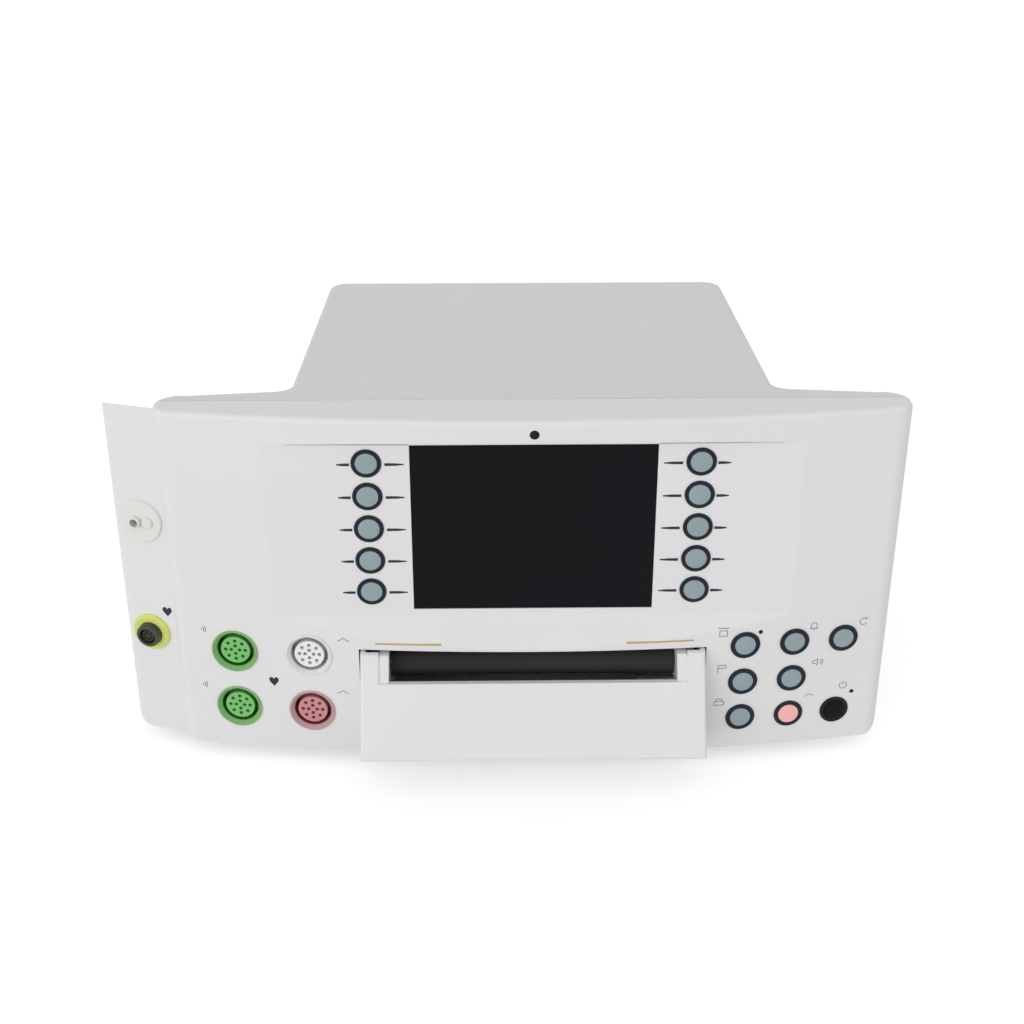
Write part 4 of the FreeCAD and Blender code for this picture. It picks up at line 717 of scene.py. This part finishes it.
SIGNS = {
    "paper": ((98.35, 78.3), [(SHEET, True), (SHEET_EDGE, False)]),
    "bell": ((146.15, 78.4), [(BELL, True), (BELL_CLAPPER, False)]),
    "cycle": ((172.65, 78.6), [(ring((0, 0), 2.0, 40, 330), False), (CYCLE_ARROW, False)]),
    "flag": ((98.65, 56.0), [(FLAG, False)]),
    "speaker": ((149.65, 56.1), [(SPEAKER, True), *((wave, False) for wave in SPEAKER_WAVES)]),
    "printer": ((98.35, 34.9), [(PRINTER, True), (PRINTER_SHEET, False)]),
    "mute": ((147.05, 34.2), [(ring((0, -0.6), 2.6, 20, 160, 12), False)]),
    "standby": ((165.15, 40.1), [(ring((0, 0), 2.0, 120, 420), False), (STANDBY_BAR, False)]),
}
marks = bmesh.new()
for centre, strokes in SIGNS.values():
    for points, closed in strokes:
        add_line(marks, "fascia", moved(moved(points, centre), SCREEN_MIDDLE), SIGN_WIDTH, closed)
piece("function_key_signs", marks, "print_grey")

# Plain line signs beside the round sockets: sound waves and a slow curve
WAVES = [ring((-1.6, 0), radius, -40, 40, 8) for radius in (0.9, 1.9, 2.9)]
CURVE = [(-3.2, -0.8), (-2.0, -0.7), (-1.0, 0.0), (0.0, 1.0), (1.0, 0.0), (2.0, -0.7), (3.2, -0.8)]
SOCKET_SIGNS = (
    ((-170.95, 77.0), WAVES),
    ((-172.95, 43.0), WAVES),
    ((-97.75, 75.4), [CURVE]),
    ((-99.15, 43.4), [CURVE]),
)
marks = bmesh.new()
for centre, strokes in SOCKET_SIGNS:
    for points in strokes:
        add_line(marks, "fascia", moved(moved(points, centre), SCREEN_MIDDLE), SIGN_WIDTH)
piece("socket_signs", marks, "print_grey")

# Narrow fillets that close the joint between the drawer's notch and the cheeks of the paper slot
FILLET_WIDTH = 0.9
NOTCH_SIDE = 79.5
NOTCH_FLOOR = 55.6
CHEEK_SIDES = (74.6, 79.3)
CHEEK_ENDS = (55.9, 67.2)
EDGES_ONLY = (1.0, -1.0)
marks = bmesh.new()
for side in (-1.0, 1.0):
    upright = [(side * NOTCH_SIDE, z) for z in CHEEK_ENDS]
    level = [(side * x, NOTCH_FLOOR) for x in CHEEK_SIDES]
    for line in (upright, level):
        add_line(marks, "drawer", moved(line, SCREEN_MIDDLE), FILLET_WIDTH, across=EDGES_ONLY)
piece("slot_cheek_fillets", marks, "drawer", body="drawer")

# Contact pins in the two data sockets at the rear, in two staggered rows of count and height
PLUG_HALF_WIDTH = 15.0 * MM
PIN_PITCH = 2.4 * MM
PIN_ROWS = ((8, 1.4 * MM), (7, -1.4 * MM))
PIN_RADIUS = 0.45 * MM
PIN_LENGTH = 5.0 * MM
PIN_SIDES = 12
plug_low, plug_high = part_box("data_sockets")
plug_tree = front_of("data_sockets")
plug_z = (plug_low.z + plug_high.z) / 2
pointing_back = Matrix.Rotation(math.radians(90.0), 4, "X")
marks = bmesh.new()
for plug_x in (plug_low.x + PLUG_HALF_WIDTH, plug_high.x - PLUG_HALF_WIDTH):
    behind = Vector((plug_x, plug_high.y + RAY_START, plug_z))
    pin_floor = plug_tree.ray_cast(behind, Vector((0.0, -1.0, 0.0)))[0].y
    for count, rise in PIN_ROWS:
        for k in range(count):
            x = plug_x + (k - (count - 1) / 2) * PIN_PITCH
            place = Matrix.Translation((x, pin_floor + PIN_LENGTH / 2 - PRINT_SINK, plug_z + rise))
            bmesh.ops.create_cone(
                marks, cap_ends=True, segments=PIN_SIDES, radius1=PIN_RADIUS, radius2=PIN_RADIUS,
                depth=PIN_LENGTH, matrix=place @ pointing_back)
piece("data_socket_pins", marks, "steel")


# Floor, light and camera

def background_rays(tree):
    """One for the rays that should see the white surroundings: camera, glossy and transmission rays."""
    path = tree.nodes.new("ShaderNodeLightPath")
    seen = path.outputs["Is Camera Ray"]
    for name in ("Is Glossy Ray", "Is Transmission Ray"):
        larger = tree.nodes.new("ShaderNodeMath")
        larger.operation = "MAXIMUM"
        tree.links.new(seen, larger.inputs[0])
        tree.links.new(path.outputs[name], larger.inputs[1])
        seen = larger.outputs[0]
    return seen


floor_mesh = bpy.data.meshes.new("floor")
corners = [(x * FLOOR_REACH, y * FLOOR_REACH, FLOOR_LEVEL) for x, y in FLOOR_CORNERS]
floor_mesh.from_pydata(corners, [], [range(len(corners))])
floor = bpy.data.objects.new("floor", floor_mesh)
scene.collection.objects.link(floor)
floor_material, floor_tree, floor_shader = shader_of("floor_paint")
floor_shader.inputs["Base Color"].default_value = FLOOR_COLOUR
floor_shader.inputs["Roughness"].default_value = FLOOR_ROUGHNESS
floor_shader.inputs["Specular IOR Level"].default_value = 0.0
floor_shader.inputs["Emission Color"].default_value = WHITE
lift = floor_tree.nodes.new("ShaderNodeMath")
lift.operation = "MULTIPLY"
lift.inputs[1].default_value = FLOOR_LIFT
floor_tree.links.new(background_rays(floor_tree), lift.inputs[0])
floor_tree.links.new(lift.outputs[0], floor_shader.inputs["Emission Strength"])
floor_mesh.materials.append(floor_material)

world = bpy.data.worlds.new("studio")
scene.world = world
world.use_nodes = True
world_tree = world.node_tree
plain = world_tree.nodes["Background"]
plain.inputs["Color"].default_value = WHITE
plain.inputs["Strength"].default_value = AMBIENT
white = world_tree.nodes.new("ShaderNodeBackground")
white.inputs["Color"].default_value = WHITE
white.inputs["Strength"].default_value = 1.0
choose = world_tree.nodes.new("ShaderNodeMixShader")
world_tree.links.new(background_rays(world_tree), choose.inputs["Fac"])
world_tree.links.new(plain.outputs[0], choose.inputs[1])
world_tree.links.new(white.outputs[0], choose.inputs[2])
world_tree.links.new(choose.outputs[0], world_tree.nodes["World Output"].inputs["Surface"])

lamp = bpy.data.lights.new("soft_lamp", "SUN")
lamp.energy = LAMP_STRENGTH
lamp.angle = math.radians(LAMP_SPREAD)
holder = bpy.data.objects.new("soft_lamp", lamp)
holder.rotation_euler = (math.radians(LAMP_TILT), 0.0, math.radians(LAMP_TURN))
scene.collection.objects.link(holder)

lens = bpy.data.cameras.new("camera")
lens.lens = CAMERA_LENS
lens.sensor_width = SENSOR_WIDTH
camera = bpy.data.objects.new("camera", lens)
camera.location = CAMERA_PLACE
camera.rotation_euler = [math.radians(angle) for angle in CAMERA_TURN]
scene.collection.objects.link(camera)
scene.camera = camera

scene.view_settings.view_transform = "Standard"
